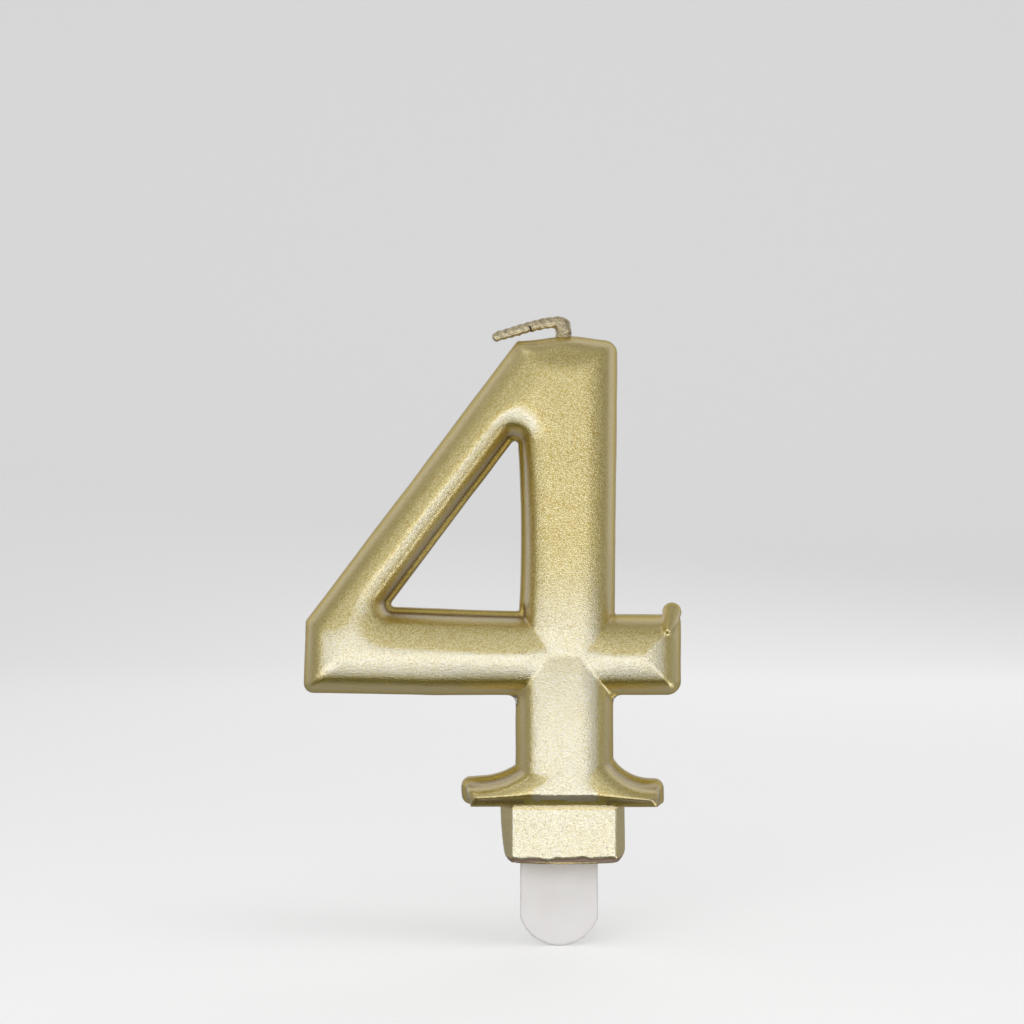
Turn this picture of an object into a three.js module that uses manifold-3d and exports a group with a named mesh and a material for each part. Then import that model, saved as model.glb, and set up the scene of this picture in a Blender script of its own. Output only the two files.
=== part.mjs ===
// Moulded birthday candle in the form of the number 4, with a folded wick and a flat holder pick.
// Millimetres. +X is to the right, -Y towards the viewer and +Z up.
// The origin is the centre of the foot's underside, which rests on the cake.

import * as THREE from "three";
import { mergeVertices } from "three/addons/utils/BufferGeometryUtils.js";
import Module from "manifold-3d";

// Number, seen from the front
const NUMBER_TOP = 80.4;
const TOP_WIDTH = 15.2;
const STEM_WIDTH = 15;
const STEM_CENTRE = 0.85;
const BAR_BOTTOM = 25.5;
const BAR_HEIGHT = 13.4;
const LEFT_REACH = 40.1;
const LEFT_END_HEIGHT = 11.2;
const SLOPE_WIDTH = 8.9;
const ARM_HEIGHT = 12.6;
const ARM_REACH = 18.5;
const NECK_WIDTH = 15.2;
const NECK_CENTRE = 0.3;
const TOP_CORNER_RADIUS = 2;
const END_CORNER_RADIUS = 1.5;
const HOLE_CORNER_RADIUS = 0.5;

// Relief, as a section through one side of a bar: inset from the outline, and depth from the mid-plane
const HALF_THICKNESS = 6.5;
const RIM_DRAFT = 0.15;
const RIM_DEPTH = 1;
const RIM_WIDTH = 0.95;
const RIM_SLOPE = 0.3;
const FLANK_WIDTH = 2.4;
const CROWN_RISE = 0.7;
const STEM_CROWN_INSET = 5.4;
const FLANK_END_ANGLE = THREE.MathUtils.degToRad(75);

// Drip collar
const COLLAR_WIDTH = 31.6;
const COLLAR_BOTTOM = 8.7;
const COLLAR_END_HEIGHT = 4.1;
const COLLAR_SWEEP_RADIUS = 8.1;
const COLLAR_SWEEP_ANGLE = THREE.MathUtils.degToRad(50);
const COLLAR_UNDERCUT = 1.5;
const COLLAR_CORNER_RADIUS = 1.2;

// Foot block
const FOOT_WIDTH = 19.2;
const FOOT_THICKNESS = 10.8;
const FOOT_BEVEL = 1.65;
const FOOT_CORNER_RADIUS = 1.5;

// Casting vent stub at the right end of the crossbar
const VENT_DIAMETER = 3;
const VENT_TOP_RISE = 1.8;
const VENT_END_INSET = 1.6;
const VENT_LEAN = new THREE.Vector3(-1.1, -5, -3.2);

// Wick
const WICK_DIAMETER = 2.2;
const WICK_TIP_DIAMETER = 1.6;
const WICK_BOTTOM = 18;
const WICK_X = 0.1;
const STUB_ABOVE_MOUND = 0.9;
const MOUND_WIDTH = 8.8;
const MOUND_THICKNESS = 6.4;
const MOUND_RISE = 0.7;
const MOUND_ROOT = 1;
const TIP_ROUTE = [
  [0, 0],
  [-2.2, -0.15],
  [-5.1, -0.7],
  [-7.5, -1.4],
  [-10.9, -2.5],
];

// Holder pick
const PICK_WIDTH = 12;
const PICK_THICKNESS = 1.8;
const PICK_CENTRE = -0.55;
const PICK_BELOW_FOOT = 13.2;
const PICK_END_RADIUS = 6.3;
const TANG_THICKNESS = 1.2;
const TANG_LENGTH = 12;

// Gap left between separate pieces
const CLEARANCE = 0.3;

// Vertices of one piece closer than this are one vertex
const WELD_DISTANCE = 1e-5;

// Facet counts
const FLANK_STEPS = 5;
const CORNER_STEPS = 4;
const FAN_STEPS = 8;
const ROUND_STEPS = 16;

const stemLeft = STEM_CENTRE - STEM_WIDTH / 2;
const stemRight = STEM_CENTRE + STEM_WIDTH / 2;
const topLeftX = stemRight - TOP_WIDTH;
const leftEndTop = BAR_BOTTOM + LEFT_END_HEIGHT;
const barTop = BAR_BOTTOM + BAR_HEIGHT;
const armTop = BAR_BOTTOM + ARM_HEIGHT;
const numberWidth = LEFT_REACH + ARM_REACH;
const farReach = 2 * (NUMBER_TOP + numberWidth);
const stubTop = NUMBER_TOP + MOUND_RISE + STUB_ABOVE_MOUND;
const foldHeight = stubTop + CLEARANCE + WICK_DIAMETER / 2;

const wasm = await Module();
wasm.setup();

// Turns a closed geometry into a solid, without its doubled vertices and collapsed triangles.
function solid(geometry) {
  const bare = geometry.clone();
  bare.deleteAttribute("normal");
  bare.deleteAttribute("uv");
  const merged = mergeVertices(bare, WELD_DISTANCE);
  const corners = merged.index.array;
  const kept = [];
  for (let i = 0; i < corners.length; i += 3) {
    const [a, b, c] = corners.slice(i, i + 3);
    if (a !== b && b !== c && c !== a) {
      kept.push(a, b, c);
    }
  }
  const vertProperties = new Float32Array(merged.attributes.position.array);
  const triVerts = new Uint32Array(kept);
  return new wasm.Manifold(new wasm.Mesh({ numProp: 3, vertProperties, triVerts }));
}

function geometryOf(manifold) {
  const mesh = manifold.getMesh();
  const geometry = new THREE.BufferGeometry();
  geometry.setAttribute("position", new THREE.BufferAttribute(new Float32Array(mesh.vertProperties), 3));
  geometry.setIndex(new THREE.BufferAttribute(new Uint32Array(mesh.triVerts), 1));
  geometry.computeVertexNormals();
  return geometry;
}

function boxSolid(low, high) {
  const size = high.clone().sub(low);
  const centre = high.clone().add(low).multiplyScalar(0.5);
  const geometry = new THREE.BoxGeometry(size.x, size.y, size.z);
  return solid(geometry.translate(centre.x, centre.y, centre.z));
}

// Flank of a section: it leaves its foot steeply and rounds over towards its shoulder.
function flank(footInset, shoulderInset, footDepth, shoulderDepth) {
  const points = [];
  for (let i = 0; i <= FLANK_STEPS; i += 1) {
    const angle = (FLANK_END_ANGLE * i) / FLANK_STEPS;
    const across = (1 - Math.cos(angle)) / (1 - Math.cos(FLANK_END_ANGLE));
    const up = Math.sin(angle) / Math.sin(FLANK_END_ANGLE);
    const inset = THREE.MathUtils.lerp(footInset, shoulderInset, across);
    points.push([inset, THREE.MathUtils.lerp(footDepth, shoulderDepth, up)]);
  }
  return points;
}

// Section of the relief: a thin rim at the parting line, the flank and a low crown.
function reliefSection(crownInset) {
  const shoulderInset = RIM_WIDTH + FLANK_WIDTH;
  const shoulderDepth = HALF_THICKNESS - CROWN_RISE;
  return [
    [0, 0],
    [RIM_DRAFT, RIM_DEPTH],
    ...flank(RIM_WIDTH, shoulderInset, RIM_DEPTH + RIM_SLOPE, shoulderDepth),
    [crownInset, HALF_THICKNESS],
  ];
}

// Section of the collar's underside, which turns in under the crest over a short height.
function undercutSection() {
  return [[0, 0], ...flank(RIM_DRAFT, COLLAR_UNDERCUT, RIM_DEPTH, HALF_THICKNESS)];
}

// Half-space bounded by a straight outline edge, with the section on both faces.
// The edge runs from start to end, seen from the front, with the solid on its left.
function edgeSlab(start, end, section) {
  const shape = new THREE.Shape();
  shape.moveTo(section[0][0], section[0][1]);
  for (const [inset, depth] of section.slice(1)) {
    shape.lineTo(inset, depth);
  }
  const crown = section.at(-1)[1];
  shape.lineTo(farReach, crown);
  shape.lineTo(farReach, -crown);
  for (const [inset, depth] of section.slice(1).reverse()) {
    shape.lineTo(inset, -depth);
  }
  const along = new THREE.Vector3(end.x - start.x, 0, end.y - start.y).normalize();
  const inward = new THREE.Vector3(-along.z, 0, along.x);
  const geometry = new THREE.ExtrudeGeometry(shape, { depth: 2 * farReach, bevelEnabled: false });
  const place = new THREE.Matrix4().makeBasis(inward, new THREE.Vector3(0, -1, 0), along);
  place.setPosition(start.x - farReach * along.x, 0, start.y - farReach * along.z);
  return solid(geometry.applyMatrix4(place));
}

// Rounds a corner of an outline with a short run of edges.
function roundedCorner(before, corner, after, radius) {
  const back = before.clone().sub(corner).normalize();
  const ahead = after.clone().sub(corner).normalize();
  const half = Math.acos(back.dot(ahead)) / 2;
  const middle = back.clone().add(ahead).normalize();
  const centre = corner.clone().addScaledVector(middle, radius / Math.sin(half));
  const first = corner.clone().addScaledVector(back, radius / Math.tan(half)).sub(centre);
  const turn = Math.PI - 2 * half;
  const points = [];
  for (let i = 0; i <= CORNER_STEPS; i += 1) {
    points.push(first.clone().rotateAround(new THREE.Vector2(), (turn * i) / CORNER_STEPS).add(centre));
  }
  return points;
}

// Intersection of the edge slabs along an open run of points.
function insideEdges(points, section) {
  let body = null;
  for (let i = 0; i + 1 < points.length; i += 1) {
    const slab = edgeSlab(points[i], points[i + 1], section);
    body = body ? body.intersect(slab) : slab;
  }
  return body;
}

// Outer block of the upper part: stem, crossbar and slope before the triangular hole is cut.
function outerBlock(barSection, stemSection) {
  const bottomRight = new THREE.Vector2(stemRight, BAR_BOTTOM);
  const topRight = new THREE.Vector2(stemRight, NUMBER_TOP);
  const topLeft = new THREE.Vector2(topLeftX, NUMBER_TOP);
  const leftTop = new THREE.Vector2(-LEFT_REACH, leftEndTop);
  const leftBottom = new THREE.Vector2(-LEFT_REACH, BAR_BOTTOM);
  const rightSide = edgeSlab(bottomRight, topRight, stemSection);
  const upper = [
    ...roundedCorner(bottomRight, topRight, topLeft, TOP_CORNER_RADIUS),
    topLeft,
    leftTop,
    ...roundedCorner(leftTop, leftBottom, bottomRight, END_CORNER_RADIUS),
    bottomRight,
  ];
  return rightSide.intersect(insideEdges(upper, barSection));
}

// Closed body through rings of equal counts, each a convex loop at its own depth.
function loftRings(rings) {
  const count = rings[0].length;
  const positions = rings.flat().flatMap((point) => [point.x, point.y, point.z]);
  const faces = [];
  for (let i = 1; i + 1 < count; i += 1) {
    const last = (rings.length - 1) * count;
    faces.push(0, i + 1, i);
    faces.push(last, last + i, last + i + 1);
  }
  for (let ring = 0; ring + 1 < rings.length; ring += 1) {
    for (let i = 0; i < count; i += 1) {
      const a = ring * count + i;
      const b = ring * count + ((i + 1) % count);
      faces.push(a, b, a + count);
      faces.push(b, b + count, a + count);
    }
  }
  const geometry = new THREE.BufferGeometry();
  geometry.setAttribute("position", new THREE.Float32BufferAttribute(positions, 3));
  geometry.setIndex(faces);
  return solid(geometry);
}

// Cutter for the triangular hole. It widens towards both faces, with round fans at the two acute
// corners and a mitre where the stem meets the crossbar.
function holeCutter(barSection, stemSection) {
  const slope = new THREE.Vector2(topLeftX + LEFT_REACH, NUMBER_TOP - leftEndTop).normalize();
  const outward = new THREE.Vector2(-slope.y, slope.x);
  const onSlope = new THREE.Vector2(topLeftX, NUMBER_TOP).addScaledVector(outward, -SLOPE_WIDTH);
  const slopeX = (z) => onSlope.x + ((z - onSlope.y) * slope.x) / slope.y;
  const slopeZ = (x) => onSlope.y + ((x - onSlope.x) * slope.y) / slope.x;
  const radius = HOLE_CORNER_RADIUS;
  const lowZ = barTop + radius;
  const highX = stemLeft - radius;
  const lowCentre = new THREE.Vector2(slopeX(lowZ) + radius / slope.y, lowZ);
  const highCentre = new THREE.Vector2(highX, slopeZ(highX) - radius / slope.x);
  const slopeAngle = outward.angle();
  const down = (3 * Math.PI) / 2;
  const ringAt = (index, depth) => {
    const barInset = barSection[index][0];
    const stemInset = stemSection[index][0];
    const ring = [new THREE.Vector3(stemLeft + stemInset, depth, barTop - barInset)];
    for (let i = 0; i <= FAN_STEPS; i += 1) {
      const angle = THREE.MathUtils.lerp(down, slopeAngle, i / FAN_STEPS);
      const reach = radius + barInset;
      const x = lowCentre.x + reach * Math.cos(angle);
      ring.push(new THREE.Vector3(x, depth, lowCentre.y + reach * Math.sin(angle)));
    }
    for (let i = 0; i <= FAN_STEPS; i += 1) {
      const angle = THREE.MathUtils.lerp(slopeAngle, 0, i / FAN_STEPS);
      const reach = radius + THREE.MathUtils.lerp(barInset, stemInset, i / FAN_STEPS);
      const x = highCentre.x + reach * Math.cos(angle);
      ring.push(new THREE.Vector3(x, depth, highCentre.y + reach * Math.sin(angle)));
    }
    return ring;
  };
  const last = barSection.length - 1;
  const beyond = 2 * HALF_THICKNESS;
  const front = barSection.map(([, depth], index) => ringAt(index, -depth)).reverse();
  const back = barSection.map(([, depth], index) => ringAt(index, depth)).slice(1);
  return loftRings([ringAt(last, -beyond), ...front, ...back, ringAt(last, beyond)]);
}

// Right arm of the crossbar, from its rounded end back to the middle of the stem.
function rightArm(armSection) {
  const bottomLeft = new THREE.Vector2(STEM_CENTRE, BAR_BOTTOM);
  const bottomRight = new THREE.Vector2(ARM_REACH, BAR_BOTTOM);
  const topRight = new THREE.Vector2(ARM_REACH, armTop);
  const topLeft = new THREE.Vector2(STEM_CENTRE, armTop);
  const points = [
    bottomLeft,
    ...roundedCorner(bottomLeft, bottomRight, topRight, END_CORNER_RADIUS),
    ...roundedCorner(bottomRight, topRight, topLeft, END_CORNER_RADIUS),
    topLeft,
  ];
  const low = new THREE.Vector3(STEM_CENTRE, -HALF_THICKNESS, BAR_BOTTOM);
  const high = new THREE.Vector3(ARM_REACH, HALF_THICKNESS, armTop);
  return insideEdges(points, armSection).intersect(boxSolid(low, high));
}

// Lower stem, from the collar's crest up to the ridge of the crossbar.
function neck(stemSection) {
  const left = NECK_CENTRE - NECK_WIDTH / 2;
  const right = NECK_CENTRE + NECK_WIDTH / 2;
  const bottom = COLLAR_BOTTOM + COLLAR_UNDERCUT;
  const top = BAR_BOTTOM + ARM_HEIGHT / 2;
  const leftSide = edgeSlab(new THREE.Vector2(left, top), new THREE.Vector2(left, bottom), stemSection);
  const rightSide = edgeSlab(new THREE.Vector2(right, bottom), new THREE.Vector2(right, top), stemSection);
  const low = new THREE.Vector3(left, -HALF_THICKNESS, bottom);
  const high = new THREE.Vector3(right, HALF_THICKNESS, top);
  return leftSide.intersect(rightSide).intersect(boxSolid(low, high));
}

// One swept shoulder of the collar: the area under a concave arc and its last tangent.
function collarShoulder(side, section) {
  const endTop = COLLAR_BOTTOM + COLLAR_END_HEIGHT;
  const neckEdge = NECK_WIDTH / 2;
  const arcStart = neckEdge + COLLAR_SWEEP_RADIUS * Math.sin(COLLAR_SWEEP_ANGLE);
  let body = null;
  for (let i = 0; i <= CORNER_STEPS; i += 1) {
    const angle = (COLLAR_SWEEP_ANGLE * i) / CORNER_STEPS;
    const x = side * (arcStart - COLLAR_SWEEP_RADIUS * Math.sin(angle));
    const z = endTop + COLLAR_SWEEP_RADIUS * (1 - Math.cos(angle));
    const touch = new THREE.Vector2(NECK_CENTRE + x, z);
    const ahead = touch.clone().add(new THREE.Vector2(-Math.cos(angle), side * Math.sin(angle)));
    const slab = edgeSlab(touch, ahead, section);
    body = body ? body.add(slab) : slab;
  }
  return body;
}

// Drip collar: two swept shoulders, narrow ends and an underside that turns in below a low crest.
function collar(section) {
  const half = COLLAR_WIDTH / 2;
  const top = COLLAR_BOTTOM + COLLAR_END_HEIGHT;
  const bottomLeft = new THREE.Vector2(-half, COLLAR_BOTTOM);
  const bottomRight = new THREE.Vector2(half, COLLAR_BOTTOM);
  const topLeft = new THREE.Vector2(-half, top);
  const topRight = new THREE.Vector2(half, top);
  const rightCorner = roundedCorner(bottomRight, topRight, topLeft, COLLAR_CORNER_RADIUS);
  const leftCorner = roundedCorner(topRight, topLeft, bottomLeft, COLLAR_CORNER_RADIUS);
  const roundLimit = half - COLLAR_CORNER_RADIUS;
  const between = boxSolid(
    new THREE.Vector3(-roundLimit, -2 * HALF_THICKNESS, -farReach),
    new THREE.Vector3(roundLimit, 2 * HALF_THICKNESS, farReach),
  );
  const rounded = insideEdges(rightCorner, section).intersect(insideEdges(leftCorner, section));
  return collarShoulder(1, section)
    .intersect(collarShoulder(-1, section))
    .intersect(edgeSlab(bottomRight, topRight, section))
    .intersect(edgeSlab(topLeft, bottomLeft, section))
    .intersect(edgeSlab(bottomLeft, bottomRight, undercutSection()))
    .intersect(rounded.add(between));
}

// Foot block, with a flat front and back, narrow bevels at its sides and rounded lower corners.
function foot() {
  const half = FOOT_WIDTH / 2;
  const top = COLLAR_BOTTOM + COLLAR_UNDERCUT;
  const depth = FOOT_THICKNESS / 2;
  const bevel = [
    [0, 0],
    [RIM_DRAFT, RIM_DEPTH],
    [FOOT_BEVEL, depth],
  ];
  const plain = [
    [0, 0],
    [0, depth],
  ];
  const topLeft = new THREE.Vector2(-half, top);
  const bottomLeft = new THREE.Vector2(-half, 0);
  const bottomRight = new THREE.Vector2(half, 0);
  const topRight = new THREE.Vector2(half, top);
  const leftCorner = roundedCorner(topLeft, bottomLeft, bottomRight, FOOT_CORNER_RADIUS);
  const rightCorner = roundedCorner(bottomLeft, bottomRight, topRight, FOOT_CORNER_RADIUS);
  return edgeSlab(topLeft, bottomLeft, bevel)
    .intersect(edgeSlab(bottomRight, topRight, bevel))
    .intersect(insideEdges([...leftCorner, ...rightCorner], plain))
    .intersect(edgeSlab(topRight, topLeft, plain));
}

// Stub left by the casting vent: a round rod that leans out over the arm's upper flank.
function ventStub() {
  const radius = VENT_DIAMETER / 2;
  const geometry = new THREE.CapsuleGeometry(radius, VENT_LEAN.length(), CORNER_STEPS, ROUND_STEPS, 1);
  const top = new THREE.Vector3(ARM_REACH - VENT_END_INSET, 0, armTop + VENT_TOP_RISE - radius);
  const direction = VENT_LEAN.clone().normalize();
  geometry.applyQuaternion(new THREE.Quaternion().setFromUnitVectors(new THREE.Vector3(0, 1, 0), direction));
  const middle = top.addScaledVector(VENT_LEAN, 0.5);
  return solid(geometry.translate(middle.x, middle.y, middle.z));
}

// Low swelling where the wax rises around the wick.
function wickMound() {
  const geometry = new THREE.SphereGeometry(1, ROUND_STEPS, ROUND_STEPS / 2);
  geometry.scale(MOUND_WIDTH / 2, MOUND_RISE + MOUND_ROOT, MOUND_THICKNESS / 2);
  geometry.rotateX(Math.PI / 2);
  return solid(geometry.translate(WICK_X, 0, NUMBER_TOP - MOUND_ROOT));
}

// Upright round rod that starts at height zero.
function uprightRod(diameter, height) {
  const geometry = new THREE.CylinderGeometry(diameter / 2, diameter / 2, height, ROUND_STEPS);
  return geometry.rotateX(Math.PI / 2).translate(0, 0, height / 2);
}

function wickChannel() {
  const bottom = WICK_BOTTOM - CLEARANCE;
  const geometry = uprightRod(WICK_DIAMETER + 2 * CLEARANCE, foldHeight - bottom);
  return solid(geometry.translate(WICK_X, 0, bottom));
}

function pickSlot() {
  const halfWidth = PICK_WIDTH / 2 + CLEARANCE;
  const halfThickness = TANG_THICKNESS / 2 + CLEARANCE;
  const low = new THREE.Vector3(PICK_CENTRE - halfWidth, -halfThickness, -PICK_BELOW_FOOT);
  const high = new THREE.Vector3(PICK_CENTRE + halfWidth, halfThickness, TANG_LENGTH + CLEARANCE);
  return boxSolid(low, high);
}

function waxGeometry() {
  const barSection = reliefSection(BAR_HEIGHT / 2);
  const armSection = reliefSection(ARM_HEIGHT / 2);
  const stemSection = reliefSection(STEM_CROWN_INSET);
  const wax = outerBlock(barSection, stemSection)
    .subtract(holeCutter(barSection, stemSection))
    .add(rightArm(armSection))
    .add(neck(stemSection))
    .add(collar(barSection))
    .add(foot())
    .add(ventStub())
    .add(wickMound());
  return geometryOf(wax.subtract(wickChannel()).subtract(pickSlot()));
}

// Folded end of the wick: a round knuckle at the fold and a curved free length.
function wickTipGeometry() {
  const route = new THREE.CatmullRomCurve3(TIP_ROUTE.map(([x, z]) => new THREE.Vector3(x, 0, z)));
  const circle = new THREE.Shape().absarc(0, 0, WICK_TIP_DIAMETER / 2, 0, 2 * Math.PI);
  const options = { steps: ROUND_STEPS, curveSegments: ROUND_STEPS / 2, bevelEnabled: false };
  const tube = solid(new THREE.ExtrudeGeometry(circle, { ...options, extrudePath: route }));
  const knuckle = solid(new THREE.SphereGeometry(WICK_DIAMETER / 2, ROUND_STEPS, ROUND_STEPS / 2));
  return geometryOf(knuckle.add(tube));
}

// Flat blade with a round lower end of slightly larger radius than half its width. It stops just
// under the foot, and a thinner tang runs on up into the wax.
function pickGeometry() {
  const half = PICK_WIDTH / 2;
  const sweep = Math.asin(half / PICK_END_RADIUS);
  const arcCentre = PICK_END_RADIUS - PICK_BELOW_FOOT;
  const outline = new THREE.Shape();
  outline.moveTo(half, -CLEARANCE);
  outline.lineTo(-half, -CLEARANCE);
  outline.absarc(0, arcCentre, PICK_END_RADIUS, -Math.PI / 2 - sweep, -Math.PI / 2 + sweep, false);
  const options = { depth: PICK_THICKNESS, curveSegments: ROUND_STEPS, bevelEnabled: false };
  const flat = new THREE.ExtrudeGeometry(outline, options);
  const blade = solid(flat.translate(0, 0, -PICK_THICKNESS / 2).rotateX(Math.PI / 2));
  const low = new THREE.Vector3(-half, -TANG_THICKNESS / 2, arcCentre);
  const high = new THREE.Vector3(half, TANG_THICKNESS / 2, TANG_LENGTH);
  return geometryOf(blade.add(boxSolid(low, high)));
}

function namedMesh(name, geometry, material) {
  const mesh = new THREE.Mesh(geometry, material);
  mesh.name = name;
  return mesh;
}

const goldPaint = new THREE.MeshStandardMaterial({ color: 0xcfc08a, roughness: 0.42, metalness: 0.85 });
const waxedWick = new THREE.MeshStandardMaterial({ color: 0xb09a62, roughness: 0.6, metalness: 0.5 });
const whitePlastic = new THREE.MeshStandardMaterial({ color: 0xefece9, roughness: 0.45, metalness: 0 });

const candle = new THREE.Group();
candle.add(namedMesh("wax_number", waxGeometry(), goldPaint));

const wick = namedMesh("wick", uprightRod(WICK_DIAMETER, stubTop - WICK_BOTTOM), waxedWick);
wick.position.set(WICK_X, 0, WICK_BOTTOM);
candle.add(wick);

const wickTip = namedMesh("wick_tip", wickTipGeometry(), waxedWick);
wickTip.position.set(WICK_X, 0, foldHeight);
candle.add(wickTip);

const holderPick = namedMesh("holder_pick", pickGeometry(), whitePlastic);
holderPick.position.set(PICK_CENTRE, 0, 0);

const part = new THREE.Group();
part.add(candle, holderPick);

export default part;
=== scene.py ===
"""Moulded birthday candle in the form of the number 4, with its braided wick and flat holder pick."""

import math
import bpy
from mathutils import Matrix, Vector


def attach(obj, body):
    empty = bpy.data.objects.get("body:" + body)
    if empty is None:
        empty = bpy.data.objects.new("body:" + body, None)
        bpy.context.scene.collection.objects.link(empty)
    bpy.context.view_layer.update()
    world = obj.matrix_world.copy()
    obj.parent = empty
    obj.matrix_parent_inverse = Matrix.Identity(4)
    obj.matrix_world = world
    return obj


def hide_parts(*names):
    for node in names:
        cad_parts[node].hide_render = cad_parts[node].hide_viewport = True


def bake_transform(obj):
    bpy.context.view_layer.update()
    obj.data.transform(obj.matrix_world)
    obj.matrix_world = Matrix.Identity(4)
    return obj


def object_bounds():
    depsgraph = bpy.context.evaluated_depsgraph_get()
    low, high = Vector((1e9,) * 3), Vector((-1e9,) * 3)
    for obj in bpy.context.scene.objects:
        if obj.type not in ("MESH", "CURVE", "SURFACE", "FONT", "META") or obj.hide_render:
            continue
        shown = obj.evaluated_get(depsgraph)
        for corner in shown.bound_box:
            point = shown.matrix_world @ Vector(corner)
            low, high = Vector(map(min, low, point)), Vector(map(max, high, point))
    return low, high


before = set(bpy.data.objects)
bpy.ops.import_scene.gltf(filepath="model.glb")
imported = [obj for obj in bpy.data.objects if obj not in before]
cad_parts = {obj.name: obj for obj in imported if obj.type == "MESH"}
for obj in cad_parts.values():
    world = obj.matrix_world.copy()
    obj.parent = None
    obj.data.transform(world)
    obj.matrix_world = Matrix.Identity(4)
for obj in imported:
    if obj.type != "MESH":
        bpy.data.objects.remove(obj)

from types import SimpleNamespace

import bpy
import numpy as np
from bpy.props import FloatProperty, FloatVectorProperty, PointerProperty
from bpy.types import Operator, Panel, PropertyGroup
from mathutils import Vector

bl_info = {
    "name": "Number Candle",
    "version": (1, 0, 0),
    "blender": (4, 5, 0),
    "location": "3D View > Sidebar > Candle",
    "description": "Builds a moulded number candle with a braided wick and a holder pick",
    "category": "Add Mesh",
}

MM = 0.001
CAD_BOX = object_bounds()


# ---------------------------------------------------------------- sizes and colours


def length(name, description, millimetres):
    """A length property with its default in millimetres."""
    return FloatProperty(
        name=name, description=description, default=millimetres * MM, unit="LENGTH", precision=5
    )


def colour(name, description, red, green, blue):
    """A colour property with its default in linear light."""
    return FloatVectorProperty(
        name=name, description=description, default=(red, green, blue), subtype="COLOR", size=3, min=0, max=1
    )


def factor(name, description, value, most=10):
    """A plain number from 0 up."""
    return FloatProperty(name=name, description=description, default=value, min=0, max=most, subtype="FACTOR")


class NumberSizes(PropertyGroup):
    """Outline of the number, seen from the front."""

    top: length("Top", "Height of the number's top above the cake", 80.4)
    top_width: length("Top width", "Width of the flat top", 15.4)
    stem_width: length("Stem width", "Width of the upright above the crossbar", 15.0)
    stem_centre: length("Stem centre", "Where the middle of the upright stands", 0.85)
    bar_bottom: length("Bar bottom", "Height of the crossbar's underside", 25.5)
    bar_height: length("Bar height", "Height of the crossbar left of the stem", 13.4)
    left_reach: length("Left reach", "How far the number reaches to the left", 40.1)
    left_end: length("Left end", "Height of the crossbar's left end", 11.2)
    slope_width: length("Slope width", "Width of the slanted stroke", 8.9)
    arm_height: length("Arm height", "Height of the short arm right of the stem", 12.6)
    arm_reach: length("Arm reach", "How far the short arm reaches to the right", 18.5)
    neck_width: length("Neck width", "Width of the stem below the crossbar", 15.2)
    neck_centre: length("Neck centre", "Where the middle of the lower stem stands", 0.3)
    top_corner: length("Top corner", "Radius of the top right corner", 2.0)
    end_corner: length("End corner", "Radius of the crossbar's outer corners", 1.5)
    hole_corner: length("Hole corner", "Radius of the hole's sharp corners", 0.5)
    web_fillet: length("Web fillet", "Softening of the corners under the crossbar", 1.5)


class ReliefSizes(PropertyGroup):
    """Section of the moulded relief through one side of a stroke."""

    half_thickness: length("Half thickness", "From the mid-plane to the crown", 6.5)
    rim_draft: length("Rim draft", "How much the rim's edge leans in", 0.15)
    rim_depth: length("Rim depth", "Depth of the rim's edge from the mid-plane", 1.0)
    rim_width: length("Rim width", "Width of the rim round the relief", 0.95)
    rim_slope: length("Rim slope", "How much the rim rises towards the relief", 0.3)
    flank_width: length("Flank width", "Width of the curved flank", 2.4)
    crown_rise: length("Crown rise", "How much the crown rises from its shoulder", 0.7)
    bar_crown: length("Bar crown", "Inset of the crossbar's ridge", 6.7)
    stem_crown: length("Stem crown", "Inset of the stem's flat band", 5.4)
    flank_end: FloatProperty(
        name="Flank end", description="Turn of the flank's curve", default=math.radians(75), subtype="ANGLE"
    )
    crease: length("Crease", "Softness of the creases near the stem", 0.2)
    worn_crease: length("Worn crease", "Softness of the creases at the left end", 1.1)
    edge: length("Edge", "Softness of the outline's own corners", 0.15)
    stem_roundness: length("Stem roundness", "Width over which the stem's crown rounds over", 1.6)
    sink: length("Sink", "Depth of the dip where the wax shrank at the crossing", 0.32)
    wobble: length("Wobble", "Unevenness of the cast wax", 0.035)


class CollarSizes(PropertyGroup):
    """Drip collar and the foot block under it."""

    left: length("Left end", "From the middle to the collar's left end", 15.7)
    right: length("Right end", "From the middle to the collar's right end", 15.7)
    bottom: length("Bottom", "Height of the collar's underside", 8.65)
    left_top: length("Left top", "Height of the upper edge at the left end", 13.0)
    right_top: length("Right top", "Height of the upper edge at the right end", 12.7)
    left_sweep: length("Left sweep", "Radius of the left shoulder's curve", 10.0)
    left_start: length("Left start", "Where the left shoulder starts to rise", 12.2)
    right_sweep: length("Right sweep", "Radius of the right shoulder's curve", 7.0)
    right_start: length("Right start", "Where the right shoulder starts to rise", 13.7)
    ledge: length("Ledge", "Width of the ledge along the shoulders", 1.5)
    undercut: length("Undercut", "Height over which the underside turns in", 1.85)
    groove: length("Groove", "Depth of the fine groove over the crest", 0.2)
    corner: length("Corner", "Radius of the collar's upper corners", 1.5)
    foot_width: length("Foot width", "Width of the foot block", 19.25)
    foot_lean: length("Foot lean", "How far the foot's left side leans in", 0.8)
    foot_face: length("Foot face", "Width of the foot's front face", 16.05)
    foot_thickness: length("Foot thickness", "Depth of the foot block", 10.8)
    foot_bevel: length("Foot bevel", "Width of the bevels at the foot's sides", 1.65)
    left_corner: length("Left corner", "Radius of the foot's lower left corner", 1.0)
    right_corner: length("Right corner", "Radius of the foot's lower right corner", 1.8)
    torn_height: length("Torn height", "Height of the broken lower edge", 0.85)


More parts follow.
